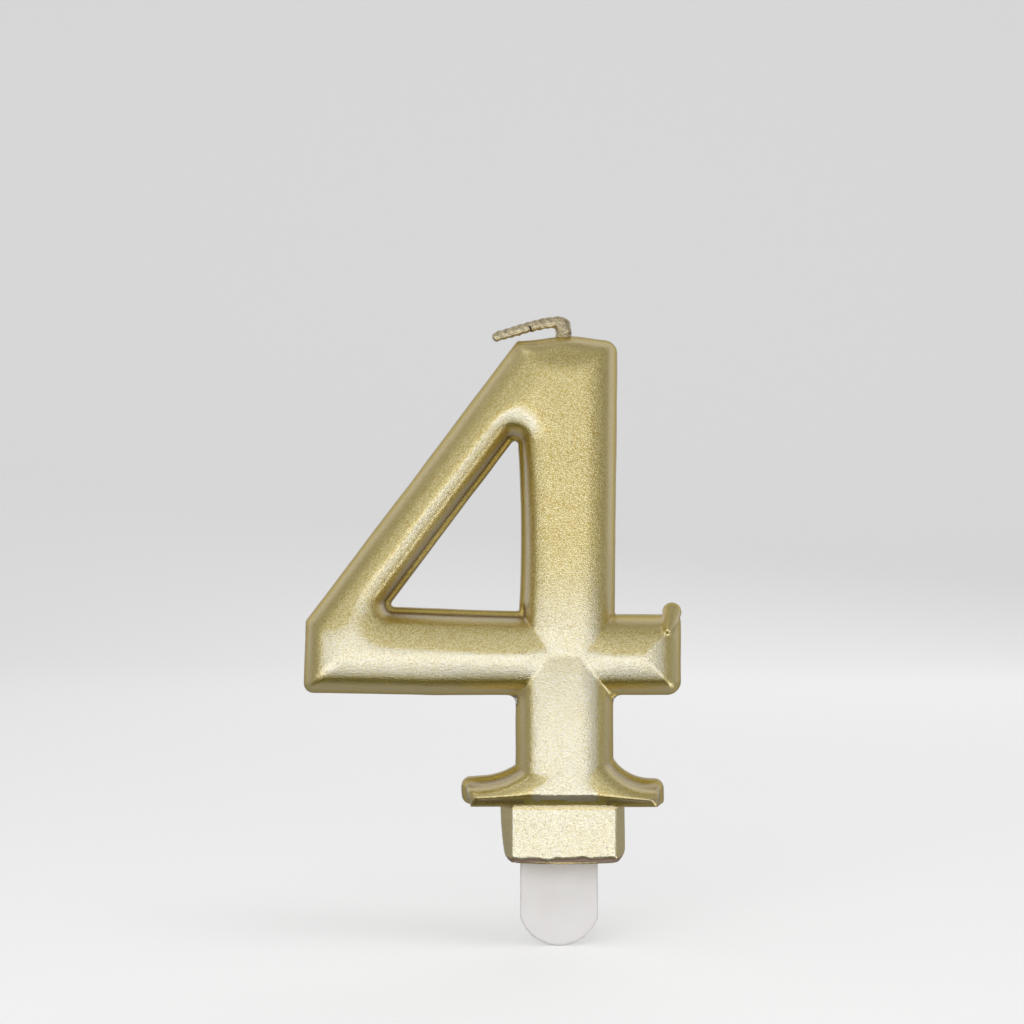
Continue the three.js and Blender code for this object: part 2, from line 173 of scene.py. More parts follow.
class VentSizes(PropertyGroup):
    """Vent stub, the swelling round the wick and the slot for the pick."""

    vent_radius: length("Vent radius", "Radius of the stub left by the casting vent", 1.5)
    vent_tip: length("Vent tip", "Radius of the stub's lower end", 0.55)
    mound_width: length("Mound width", "Width of the swelling of the top round the wick", 9.0)
    mound_rise: length("Mound rise", "Height of the swelling of the top round the wick", 0.75)
    slot_width: length("Slot width", "Width of the slot for the pick's tang", 12.6)
    slot_thickness: length("Slot thickness", "Thickness of the slot for the pick's tang", 1.8)
    slot_depth: length("Slot depth", "Depth of the slot for the pick's tang", 12.3)


class WickSizes(PropertyGroup):
    """Braided wick."""

    stub_radius: length("Stub radius", "Half the width of the upright end", 1.2)
    fold_radius: length("Fold radius", "Half the thickness just after the fold", 0.92)
    tip_radius: length("Tip radius", "Half the thickness at the tip", 0.72)
    strand: factor("Strand", "Radius of a strand as a share of the braid's", 0.55, 1)
    lay: length("Lay", "Length of one turn of the braid", 3.4)


class PickSizes(PropertyGroup):
    """Flat holder pick."""

    width: length("Width", "Width of the blade", 12.0)
    thickness: length("Thickness", "Thickness of the blade", 1.8)
    centre: length("Centre", "Where the middle of the blade stands", -0.55)
    below: length("Below", "How far the blade reaches below the foot", 13.2)
    end_radius: length("End radius", "Radius of the blade's lower end", 6.3)
    top: length("Top", "Where the blade stops under the foot", -0.05)
    tang_thickness: length("Tang thickness", "Thickness of the tang in the wax", 1.2)
    tang: length("Tang", "Height of the tang in the wax", 12.0)
    edge: length("Edge", "Radius of the blade's edges", 0.3)


class Finishes(PropertyGroup):
    """Colours in linear light."""

    gold: colour("Gold", "Champagne-gold paint on the crowns", 0.73, 0.54, 0.03)
    gold_flank: colour("Flank gold", "Deeper gold where the paint lies thicker", 0.72, 0.53, 0.04)
    # Painted highlight: the next colour is a pale gold that stands in for the whitish shine of the low key
    # light, low on the candle and on down-facing slopes.
    gold_highlight: colour("Thin gold", "Paler gold low on the candle, where paint is thinner", 0.86, 0.84, 0.68)
    # Painted shade: brown gold where the concave crease beside the rim reflects its own gold and lies in
    # shade.
    crease_shade: colour("Crease gold", "Brown gold in the crease beside the rim", 0.26, 0.14, 0.02)
    flake_dark: colour("Dark flakes", "Deeper flakes in the paint's grain", 0.52, 0.36, 0.02)
    flake_pale: colour("Pale flakes", "Brighter flakes in the paint's grain", 0.94, 0.79, 0.20)
    rim: colour("Rim", "Thin brownish paint on the rim", 0.50, 0.38, 0.16)
    bare_wax: colour("Bare wax", "White wax where the paint is chipped", 0.86, 0.84, 0.80)
    # Torn wax and painted shade: the next brown marks the foot's torn lower edge and also paints the shadow
    # in the groove there; dark marks and chip rims use it too.
    torn_wax_and_shade: colour("Torn wax", "Brown edge where the foot broke from the mould", 0.16, 0.08, 0.03)
    wick: colour("Wick", "Painted, waxed cotton", 0.55, 0.44, 0.22)
    # Painted shade: the next colour darkens the gaps between the strands and the crack; random dark specks
    # use it too.
    wick_specks_and_gap_shade: colour("Wick gaps", "Gaps between the strands", 0.06, 0.035, 0.015)
    wick_pale: colour("Pale thread", "Thread where the paint on it shines", 0.75, 0.66, 0.42)
    pick: colour("Pick", "White plastic", 0.90, 0.885, 0.875)
    pick_flow: colour("Pick streaks", "Faint streaks where the plastic flowed", 0.87, 0.83, 0.83)


class StudioSettings(PropertyGroup):
    """Camera, floor and lights."""

    distance: length("Distance", "From the camera to the candle", 400.0)
    frame_width: length("Frame width", "Width of the picture at the candle", 158.7)
    frame_x: length("Frame x", "Middle of the picture, sideways", -7.83)
    frame_z: length("Frame z", "Middle of the picture, upwards", 53.9)
    sky: factor("Sky", "Strength of the soft light all round", 0.31)
    ground: factor("Ground", "Tone of floor and backdrop", 0.5, 1)
    glow: factor("Glow", "How far the floor's tone is lifted in the picture", 0.48)
    key: factor("Key", "Radiance of the low front panel", 1.14)
    brow: factor("Brow", "Radiance of the front panel over the key", 0.38)
    side: factor("Side", "Radiance of the low panel at the right", 2.1)
    upper: factor("Upper", "Radiance of the panel high at the left", 0.6)
    top: factor("Top", "Radiance of the panel that lights the floor", 2.4)
    back: factor("Back", "Radiance of the panel behind the candle", 1.6)
    fill: factor("Fill", "Radiance of the front panel that lights matt colours", 2.6)


GROUPS = {
    "number": NumberSizes,
    "relief": ReliefSizes,
    "collar": CollarSizes,
    "vent": VentSizes,
    "wick": WickSizes,
    "pick": PickSizes,
    "finish": Finishes,
    "studio": StudioSettings,
}


def sizes(context, name):
    """One group's values as plain numbers, lengths in millimetres."""
    group = getattr(context.scene, "candle_" + name)
    found = {}
    for key in type(group).__annotations__:
        rule = group.bl_rna.properties[key]
        value = getattr(group, key)
        if rule.is_array:
            found[key] = tuple(value)
        elif rule.unit == "LENGTH":
            found[key] = value / MM
        else:
            found[key] = value
    return SimpleNamespace(**found)


# ---------------------------------------------------------------- shaping with distance fields


FAR = 99.0


def between(a, b, share):
    """Value at a share of the way from a to b."""
    return a + (b - a) * share


def smooth_step(value, low, high):
    """0 at low and 1 at high, with a soft start and end."""
    t = np.clip((value - low) / (high - low), 0, 1)
    return t * t * (3 - 2 * t)


def hump(value, middle, width):
    """1 at the middle, falling softly to both sides."""
    return np.exp(-(((value - middle) / width) ** 2))


def smooth_min(a, b, width):
    """The lesser of two fields, rounded where they cross."""
    share = np.clip(0.5 + 0.5 * (b - a) / width, 0, 1)
    return b + (a - b) * share - width * share * (1 - share)


def smooth_max(a, b, width):
    """The greater of two fields, rounded where they cross."""
    return -smooth_min(-a, -b, width)


def ripple(x, y, z, wavelength, seed):
    """Gentle unevenness between about -1 and 1, the same each time for the same seed."""
    rng = np.random.default_rng(seed)
    total = 0
    for _ in range(6):
        direction = rng.normal(size=3)
        direction /= np.linalg.norm(direction)
        turn = 2 * math.pi / (wavelength * rng.uniform(0.7, 1.5))
        phase = rng.uniform(0, 2 * math.pi)
        total = total + np.sin(turn * (direction[0] * x + direction[1] * y + direction[2] * z) + phase)
    return total / 3


class Section:
    """Signed distance to a relief section, read by inset from the outline and depth from the mid-plane."""

    STEP = 0.05
    LOW, HIGH, DEEP = -4.0, 12.0, 9.0

    def __init__(self, points, blur):
        insets = np.arange(self.LOW, self.HIGH, self.STEP)
        depths = np.arange(0, self.DEEP, self.STEP)
        mirrored = [[inset, -depth] for inset, depth in points[:0:-1]]
        outline = np.array([*mirrored, *points, [2 * self.HIGH, points[-1][1]]])
        across, up = np.meshgrid(insets, depths, indexing="ij")
        nearest = np.full(across.shape, np.inf)
        for a, b in zip(outline[:-1], outline[1:]):
            run = b - a
            t = np.clip(((across - a[0]) * run[0] + (up - a[1]) * run[1]) / (run @ run), 0, 1)
            nearest = np.minimum(nearest, np.hypot(across - a[0] - t * run[0], up - a[1] - t * run[1]))
        crown = np.interp(insets, [p[0] for p in points], [p[1] for p in points])
        inside = (across > 0) & (up < crown[:, None])
        table = np.where(inside, -nearest, nearest)
        for _ in range(round(2 * (blur / self.STEP) ** 2)):
            padded = np.pad(table, ((1, 1), (1, 1)), mode="reflect", reflect_type="even")
            table = (padded[:-2, 1:-1] + 2 * padded[1:-1, 1:-1] + padded[2:, 1:-1]) / 4
            padded = np.pad(table, ((0, 0), (1, 1)), mode="reflect")
            table = (padded[:, :-2] + 2 * padded[:, 1:-1] + padded[:, 2:]) / 4
        self.table = table

    def __call__(self, inset, depth):
        """Bilinear reading, past the table's ends as at them."""
        across = np.clip((inset - self.LOW) / self.STEP, 0, self.table.shape[0] - 1.001)
        up = np.clip(np.abs(depth) / self.STEP, 0, self.table.shape[1] - 1.001)
        i, j = across.astype(int), up.astype(int)
        s, t = across - i, up - j
        low = self.table[i, j] * (1 - s) + self.table[i + 1, j] * s
        high = self.table[i, j + 1] * (1 - s) + self.table[i + 1, j + 1] * s
        return low * (1 - t) + high * t


def flank(relief, foot_inset, shoulder_inset, foot_depth, shoulder_depth):
    """Points of a flank that leaves its foot steeply and rounds over towards its shoulder."""
    turn = np.linspace(0, relief.flank_end, 9)
    across = (1 - np.cos(turn)) / (1 - math.cos(relief.flank_end))
    up = np.sin(turn) / math.sin(relief.flank_end)
    insets = between(foot_inset, shoulder_inset, across)
    depths = between(foot_depth, shoulder_depth, up)
    return list(zip(insets, depths))


def crown_bow(relief, shoulder):
    """Low crown that flattens a little towards its ridge."""
    run, rise = relief.bar_crown - shoulder, relief.crown_rise
    base = relief.half_thickness - rise
    steep, flatten = 1.68, 0.68
    shares = (0.17, 0.34, 0.5, 0.67, 0.84, 1)
    return [(shoulder + u * run, base + (steep * u - flatten * u**2) * rise) for u in shares]


def face_section(relief, foot_inset, foot_depth, shoulder, blur):
    """Edge at the parting line, then flank and low crown."""
    crown = relief.half_thickness - relief.crown_rise
    curve = flank(relief, foot_inset, shoulder, foot_depth, crown)
    points = [(0, 0), (relief.rim_draft, relief.rim_depth), *curve, *crown_bow(relief, shoulder)]
    return Section(points, blur)


def rimmed_section(relief, ledge):
    """Section with a ledge at the parting line."""
    narrowest_flank = 1.9
    shoulder = max(relief.rim_width + relief.flank_width, ledge + narrowest_flank)
    return face_section(relief, ledge, relief.rim_depth + relief.rim_slope, shoulder, blur=0.12)


def plain_section(relief):
    """Section whose flank rises straight from the outline, without a ledge."""
    shoulder = relief.rim_width + relief.flank_width
    return face_section(relief, foot_inset=0.55, foot_depth=1.9, shoulder=shoulder, blur=0.14)


def undercut_section(relief, collar):
    """Underside of the collar, which overhangs the foot and rounds over to the crest."""
    reach, deep = collar.undercut, relief.half_thickness
    turns = ((0.03, 0.15), (0.07, 0.8), (0.3, 0.855), (0.5, 0.885), (0.8, 0.945), (1, 1))
    return Section([(0, 0), *((u * reach, v * deep) for u, v in turns)], blur=0.08)


def foot_section(relief, collar):
    """Narrow bevel at the sides of the foot."""
    points = [(0, 0), (relief.rim_draft, relief.rim_depth), (collar.foot_bevel, collar.foot_thickness / 2)]
    return Section(points, blur=0.1)


def to_crown(relief, inset, crown, ledge=None):
    """Stretches an inset past the rim, so that a stroke with another crown can use the bars' section."""
    rim = relief.rim_width if ledge is None else ledge
    stretch = (relief.bar_crown - rim) / (crown - rim)
    return np.where(inset > rim, rim + (inset - rim) * stretch, inset)


def rounded(a, b, radius):
    """Inset inside a round corner between two edges, or a large number away from it."""
    there = (a < radius) & (b < radius)
    return np.where(there, radius - np.hypot(radius - a, radius - b), FAR)


class NumberShape:
    """Inset from the number's outline, in the plane of its face."""

    # Stretches over which a change comes in, in millimetres along x, z or an inset.
    WORN_LEFT, WORN_HIGH = (8, 30), (45, 60)
    RIDGE_FROM, FILLET_TO = (0.3, 2.5), (0.0, 1.6)
    CRISP_TO = (6, 13)

    def __init__(self, number, relief, vent):
        self.number, self.relief, self.vent = number, relief, vent
        self.stem_left = number.stem_centre - number.stem_width / 2
        self.stem_right = number.stem_centre + number.stem_width / 2
        self.top_left = self.stem_right - number.top_width
        self.bar_top = number.bar_bottom + number.bar_height
        self.arm_top = number.bar_bottom + number.arm_height
        self.middle = number.bar_bottom + number.arm_height / 2
        run = self.top_left + number.left_reach
        rise = number.top - number.bar_bottom - number.left_end
        self.along_x, self.along_z = run / math.hypot(run, rise), rise / math.hypot(run, rise)

    def meet(self, x, z, a, b):
        """Inset inside two edges: crisp at the outline, with a ridge that is worn away from the crossing."""
        relief = self.relief
        away = np.maximum(smooth_step(-x, *self.WORN_LEFT), smooth_step(z, *self.WORN_HIGH))
        ridge = between(relief.crease, relief.worn_crease, away)
        width = between(relief.edge, ridge, smooth_step(np.minimum(a, b), *self.RIDGE_FROM))
        return smooth_min(a, b, width)

    def join(self, a, b, at_outline):
        """Inset of two strokes that run into each other, with a fillet in the outline's corner."""
        width = between(at_outline, self.relief.crease, smooth_step(np.maximum(a, b), *self.FILLET_TO))
        return smooth_max(a, b, width)

    def stem_inset(self, inset, z):
        """Inset from a side of the stem, whose crown rounds over, but only away from the crisp crossing."""
        relief = self.relief
        inset = to_crown(relief, inset, relief.stem_crown)
        away = smooth_step(np.abs(z - self.middle), *self.CRISP_TO)
        roundness = between(relief.crease, relief.stem_roundness, away)
        past_ridge = 0.1
        return smooth_min(inset, relief.bar_crown + past_ridge, roundness)

    def slope(self, x, z):
        """Inset from the slanted stroke's outer edge."""
        return self.along_z * (x - self.top_left) - self.along_x * (z - self.number.top)

    def hole_edges(self, x, z):
        """Distance past the hole's lower edge, which tilts, and past its bowed edge along the stem."""
        tilt, tilt_middle, tilt_reach = 0.03, -16.6, 10
        bow, bow_middle, bow_half, bow_most, shift = 0.36, 50, 12, 1.3, 0.19
        below = self.bar_top - z - tilt * np.clip(x - tilt_middle, -tilt_reach, tilt_reach)
        bent = bow * np.clip(((z - bow_middle) / bow_half) ** 2, 0, bow_most)
        return below, x - self.stem_left - shift + bent

    def hole(self, x, z):
        """Distance outside the triangular hole, with round fans at its two acute corners."""
        number = self.number
        radius = number.hole_corner
        low_rise, high_shift = 0.3, 0.27
        below, right = self.hole_edges(x, z)
        beside = number.slope_width - self.slope(x, z)
        low_z = self.bar_top + low_rise + radius
        low_run = number.slope_width + radius + self.along_x * (low_z - number.top)
        low_x = self.top_left + low_run / self.along_z
        high_x = self.stem_left - high_shift - radius
        high_run = self.along_z * (high_x - self.top_left) - number.slope_width - radius
        high_z = number.top + high_run / self.along_x
        inset = smooth_max(below, self.stem_inset(right, z), self.relief.crease)
        inset = np.maximum(inset, beside)
        low_fan = (x < low_x) & ((x - low_x) * self.along_x + (z - low_z) * self.along_z < 0)
        inset = np.where(low_fan, np.hypot(x - low_x, z - low_z) - radius, inset)
        high_fan = (z > high_z) & ((x - high_x) * self.along_x + (z - high_z) * self.along_z > 0)
        reach = np.hypot(x - high_x, z - high_z) - radius
        whole = math.atan2(self.along_x, -self.along_z)
        share = np.clip(np.arctan2(z - high_z, x - high_x) / whole, 0, 1)
        return np.where(high_fan, between(self.stem_inset(reach, z), reach, share), inset)

    def block(self, x, z):
        """Stem, crossbar and slanted stroke round the hole."""
        number, vent = self.number, self.vent
        lean, lean_middle, lean_half = 0.2, 60, 20
        mound_x, mound_depth = 0.9, 3
        left_draw, left_from = 0.25, (27, 37)
        droop, droop_from = 0.02, -20
        top_crown = 4.9
        right = self.stem_right + lean * np.clip((z - lean_middle) / lean_half, -1, 1) - x
        top = number.top - z
        swell = vent.mound_rise * hump(x, mound_x, 0.5 * vent.mound_width)
        top = top + swell * smooth_step(top, mound_depth, 0)
        left = x + number.left_reach - left_draw * smooth_step(z, *left_from)
        bottom = z - number.bar_bottom + droop * np.minimum(x - droop_from, 0)
        inset = self.stem_inset(right, z)
        edges = (to_crown(self.relief, top, top_crown), self.slope(x, z), left, bottom, self.hole(x, z))
        for edge in edges:
            inset = self.meet(x, z, inset, edge)
        inset = np.minimum(inset, rounded(right, top, number.top_corner))
        return np.minimum(inset, rounded(left, bottom, number.end_corner))

    def arm(self, x, z):
        """Short arm, which fades out inside the stem."""
        number, relief = self.number, self.relief
        draft, top_round, bottom_round = 0.1, 0.8, 1.5
        end, top, bottom = number.arm_reach - draft - x, self.arm_top - z, z - number.bar_bottom
        crown = number.arm_height / 2
        inset = self.meet(x, z, to_crown(relief, top, crown), to_crown(relief, bottom, crown))
        inset = self.meet(x, z, inset, to_crown(relief, end, crown))
        inset = np.minimum(inset, rounded(end, top, top_round * number.end_corner))
        inset = np.minimum(inset, rounded(end, bottom, bottom_round * number.end_corner))
        return inset - 2 * np.maximum(number.stem_centre - x, 0)

    def neck(self, x, z):
        """Stem below the crossbar, which fades out above the crossbar's ridge."""
        number = self.number
        left = x - number.neck_centre + number.neck_width / 2
        right = number.neck_centre + number.neck_width / 2 - x
        inset = self.meet(x, z, self.stem_inset(left, z), self.stem_inset(right, z))
        return inset - 2 * np.maximum(z - self.middle, 0)

    def __call__(self, x, z):
        inset = self.join(self.block(x, z), self.arm(x, z), self.relief.edge)
        return self.join(inset, self.neck(x, z), self.number.web_fillet)

    def ledge(self, x, z):
        """Share of the ledge at the parting line: whole in the hole, and faint round the outside."""
        outside, in_hole, less_by_stem = 0.08, 0.92, 0.6
        near_hole = 1 - smooth_step(self.hole(x, z), 1.8, 3.0)
        stem_side = smooth_step(x, -8.6, -6.9) * smooth_step(z, 38.6, 40.0)
        return outside + near_hole * (in_hole - less_by_stem * stem_side)

    def sink(self, x, z):
        """Dip where the thick crossing shrank as the wax cooled."""
        half_length, middle_x, sides = 9.5, 0.6, (3.0, 8.0)
        away = np.clip(1 - np.abs(z - self.middle) / half_length, 0, 1)
        return self.relief.sink * away**2 * (1 - smooth_step(np.abs(x - middle_x), *sides))


class CollarShape:
    """Inset from the drip collar's swept outline."""

    def __init__(self, collar, relief):
        self.collar, self.relief = collar, relief

    @staticmethod
    def sweep(away, z, start, radius, turn):
        """Inset under a level line that sweeps up on an arc towards the neck and leaves it on a tangent."""
        over, up = start - away, z - radius
        angle = np.arctan2(over, -up)
        arc = np.hypot(over, up) - radius
        straight = over * math.sin(turn) - up * math.cos(turn) - radius
        return np.where(angle <= 0, -up - radius, np.where(angle >= turn, straight, arc))

    def shoulders(self, x, z):
        """Insets under the left and the right shoulder, each with its own crown."""
        collar, relief = self.collar, self.relief
        left_turn, right_turn = math.radians(31), math.radians(52)
        tilt, tilt_from = 0.07, -14
        crown, left_wider, right_wider = 2.9, 2.1, 3.5
        low_left = z - collar.left_top - tilt * (x - tilt_from)
        left = self.sweep(-x, low_left, collar.left_start, collar.left_sweep, left_turn)
        right = self.sweep(x, z - collar.right_top, collar.right_start, collar.right_sweep, right_turn)
        left = to_crown(relief, left, crown + left_wider * smooth_step(x, -13, 0), collar.ledge)
        right = to_crown(relief, right, crown + right_wider * smooth_step(-x, -12, -2), collar.ledge)
        return left, right

    def __call__(self, x, z):
        collar = self.collar
        valley, end_crown, end_ledge, end_crease = 0.8, 3.0, 0.8, 0.3
        lean, lean_from = 0.2, 11
        inset = smooth_min(*self.shoulders(x, z), valley)
        left_end = x + collar.left - lean * smooth_step(z, lean_from, collar.bottom)
        right_end = collar.right - x
        for end, top, low in ((left_end, collar.left_top, 0.85), (right_end, collar.right_top, 0.4)):
            inset = smooth_min(inset, to_crown(self.relief, end, end_crown, end_ledge), end_crease)
            inset = np.minimum(inset, rounded(end, top - z, collar.corner))
            inset = np.minimum(inset, rounded(end, z - collar.bottom, low * collar.corner))
        return inset

    def crest(self, x, z):
        """Inset from the underside, stretched so that the crest bows up in the middle."""
        middle, left_less, right_less, run = 1.18, 0.25, 0.5, (2, 15)
        stretch = middle - left_less * smooth_step(-x, *run) - right_less * smooth_step(x, *run)
        return (z - self.collar.bottom) / stretch


class WaxShape:
    """Signed distance to the whole wax casting, in millimetres."""

    VENT_FROM = np.array([16.85, -1.3, 38.45])
    VENT_TO = np.array([16.0, -5.55, 35.9])

    def __init__(self, context):
        self.relief = sizes(context, "relief")
        self.collar = sizes(context, "collar")
        self.vent = sizes(context, "vent")
        self.pick_centre = sizes(context, "pick").centre
        self.face = NumberShape(sizes(context, "number"), self.relief, self.vent)
        self.swept = CollarShape(self.collar, self.relief)
        self.rimmed = rimmed_section(self.relief, self.relief.rim_width)
        self.plain = plain_section(self.relief)
        self.shelf = rimmed_section(self.relief, self.collar.ledge)
        self.under = undercut_section(self.relief, self.collar)
        self.bevel = foot_section(self.relief, self.collar)

    def torn_top(self, x):
        """Height of the ragged line along which the foot broke from the mould."""
        return self.collar.torn_height * (1 + 0.2 * ripple(x, 0 * x, 0 * x, wavelength=2.2, seed=5))

    def foot_outline(self, x, z):
        """Insets from the foot's sides, from its bowed base, and from its bevelled sides."""
        collar = self.collar
        flare, bow, bow_middle = 0.1, 0.3, 0.3
        left_narrower, right_wider = 0.2, 0.15
        half = collar.foot_width / 2
        low = np.clip(1 - z / collar.bottom, 0, 1)
        lean = collar.foot_lean * low**2
        left, right = x + half - lean, half + flare * low - x
        base = z - bow * ((x - bow_middle) / half) ** 2
        face_left = half - lean - collar.foot_face / 2 + left_narrower
        face_right = half + flare * low - collar.foot_face / 2 - right_wider
        side = np.minimum(left * collar.foot_bevel / face_left, right * collar.foot_bevel / face_right)
        return left, right, base, side

    def foot(self, x, y, z):
        """Foot block with its broken lower edge."""
        collar = self.collar
        depth = collar.foot_thickness / 2
        torn_in, lip_out = 0.45, 0.18
        left, right, base, side = self.foot_outline(x, z)
        body = np.maximum(self.bevel(side, y), np.abs(y) - depth)
        inset = np.minimum(np.minimum(left, right), base)
        inset = np.minimum(inset, rounded(left, base, collar.left_corner))
        inset = np.minimum(inset, rounded(right, base, collar.right_corner))
        body = np.maximum(body, -inset)
        ragged = self.torn_top(x)
        step = torn_in * smooth_step(z, ragged + 0.1, ragged - 0.12) - lip_out * smooth_step(z, 0.42, 0.22)
        body = np.maximum(body, (np.abs(y) - depth + step) * 0.8)
        return np.maximum(body, z - collar.bottom - collar.undercut)

    def vent_stub(self, x, y, z):
        """Round stub that leans out over the arm's upper flank and tapers to its end."""
        run = self.VENT_TO - self.VENT_FROM
        rel = (x - self.VENT_FROM[0], y - self.VENT_FROM[1], z - self.VENT_FROM[2])
        t = np.clip((rel[0] * run[0] + rel[1] * run[1] + rel[2] * run[2]) / (run @ run), 0, 1)
        gap = [rel[k] - t * run[k] for k in range(3)]
        radius = between(self.vent.vent_radius, self.vent.vent_tip, t**1.3)
        return np.sqrt(gap[0] ** 2 + gap[1] ** 2 + gap[2] ** 2) - radius

    def slot(self, x, y, z):
        """Slot for the pick's tang."""
        vent = self.vent
        side = np.abs(x - self.pick_centre) - vent.slot_width / 2
        return np.maximum(np.maximum(side, np.abs(y) - vent.slot_thickness / 2), z - vent.slot_depth)

    def inset(self, x, z):
        """Inset from the outline of the number or of the collar, whichever is deeper in."""
        return np.maximum(self.face(x, z), np.minimum(self.swept(x, z), z - self.collar.bottom))

    def number_body(self, x, y, z, uneven):
        """Number, with its ledge where it has one."""
        deep = np.abs(y) + self.face.sink(x, z)
        inset = self.face(x, z) + uneven
        share = self.face.ledge(x, z)
        number = self.plain(inset, deep) * (1 - share) + self.rimmed(inset, deep) * share
        return np.maximum(number, self.collar.bottom + self.collar.undercut - z)

    def collar_body(self, x, y, z, uneven):
        """Swept collar with its ledge, undercut crest and fine groove."""
        collar = self.collar
        at_ends, in_middle, right_less = 0.12, 0.3, 0.08
        groove_at, groove_width, crease = 0.72, 0.25, 0.1
        inset = self.swept(x, z) + uneven
        from_ends = 1 - smooth_step(np.abs(x), 12.2, 14.6)
        share = at_ends + (in_middle - right_less * smooth_step(x, -2, 2)) * from_ends
        swept = self.plain(inset, y) * (1 - share) + self.shelf(inset, y) * share
        crest = self.swept.crest(x, z)
        groove = hump(crest, groove_at * collar.undercut, groove_width)
        groove = groove * (1 - smooth_step(np.abs(x), 12.6, 14.0))
        return smooth_max(swept + collar.groove * groove, self.under(crest, y), crease)

    def __call__(self, x, y, z):
        wobble = self.relief.wobble
        uneven = wobble * ripple(x, 0.5 * y, z, wavelength=11, seed=3)
        body = smooth_min(self.number_body(x, y, z, uneven), self.collar_body(x, y, z, uneven), 0.25)
        body = smooth_min(body, self.foot(x, y, z), 0.12)
        body = smooth_min(body, self.vent_stub(x, y, z), 0.5)
        body = body + 0.5 * wobble * ripple(x, y, z, wavelength=6, seed=9)
        return np.maximum(body, -self.slot(x, y, z))


def net_over(field, low, high, pitch):
    """Vertices and quads of a net over the field's zero surface, in the field's own units."""
    axes = [np.arange(low[k], high[k] + pitch, pitch) for k in range(3)]
    values = field(axes[0][:, None, None], axes[1][None, :, None], axes[2][None, None, :])
    cells = np.array(values.shape) - 1
    count = np.zeros(cells.prod())
    total = np.zeros((3, cells.prod()))
    quads = []
    for axis in range(3):
        u, v = [(1, 2), (2, 0), (0, 1)][axis]
        first = np.take(values, range(cells[axis]), axis)
        second = np.take(values, range(1, cells[axis] + 1), axis)
        crossing = (first < 0) != (second < 0)
        index = np.argwhere(crossing)
        keep = (index[:, u] > 0) & (index[:, v] > 0) & (index[:, u] < cells[u]) & (index[:, v] < cells[v])
        index = index[keep]
        a, b = first[tuple(index.T)], second[tuple(index.T)]
        point = index.astype(float)
        point[:, axis] += a / (a - b)
        around = []
        for du, dv in ((-1, -1), (0, -1), (0, 0), (-1, 0)):
            cell = index.copy()
            cell[:, u] += du
            cell[:, v] += dv
            flat = np.ravel_multi_index(tuple(cell.T), cells)
            around.append(flat)
            count += np.bincount(flat, minlength=len(count))
            for k in range(3):
                total[k] += np.bincount(flat, point[:, k], minlength=len(count))
        ring = np.stack(around, 1)
        quads.append(np.where((a < 0)[:, None], ring, ring[:, ::-1]))
    used = count > 0
    number = np.cumsum(used) - 1
    vertices = (total[:, used] / count[used]).T * pitch + np.array([axis[0] for axis in axes])
    return vertices, number[np.concatenate(quads)]


def slope_of(field, points, reach=0.06):
    """Gradient of the field at points, by central differences."""
    slope = np.empty_like(points)
    for k in range(3):
        step = np.zeros(3)
        step[k] = reach
        slope[:, k] = (field(*(points + step).T) - field(*(points - step).T)) / (2 * reach)
    return slope


def settle(field, points, furthest):
    """Moves points onto the field's zero surface."""
    slope = slope_of(field, points)
    steep = np.maximum((slope**2).sum(1), 0.05)
    move = -(field(*points.T) / steep)[:, None] * slope
    size = np.linalg.norm(move, axis=1, keepdims=True)
    return points + move * np.minimum(1, furthest / np.maximum(size, 1e-9))


def evened(points, quads):
    """Moves each point halfway to the middle of its neighbours."""
    total = np.zeros_like(points)
    count = np.zeros(len(points))
    for k in range(4):
        a, b = quads[:, k], quads[:, (k + 1) % 4]
        for here, there in ((a, b), (b, a)):
            count += np.bincount(here, minlength=len(points))
            for axis in range(3):
                total[:, axis] += np.bincount(here, points[there, axis], minlength=len(points))
    return points + 0.5 * (total / count[:, None] - points)


def mesh_object(name, points, faces, material, smooth=False):
    """Mesh object in the scene with one material."""
    mesh = bpy.data.meshes.new(name)
    mesh.from_pydata(points, [], faces)
    mesh.update()
    if smooth:
        mesh.shade_smooth()
    mesh.materials.append(material)
    obj = bpy.data.objects.new(name, mesh)
    bpy.context.scene.collection.objects.link(obj)
    return obj


def skin(name, field, low, high, pitch, material):
    """Smooth mesh object over a field, in metres, and its points in millimetres."""
    points, quads = net_over(field, low, high, pitch)
    furthest = 0.6 * pitch
    for _ in range(3):
        points = settle(field, evened(points, quads), furthest)
    points = settle(field, points, furthest)
    return mesh_object(name, (points * MM).tolist(), quads.tolist(), material, smooth=True), points


def note(obj, name, values):
    """Keeps one number for each point of the mesh, for its material to read."""
    attribute = obj.data.attributes.new(name, "FLOAT", "POINT")
    attribute.data.foreach_set("value", np.asarray(values, np.float32))


# ---------------------------------------------------------------- materials


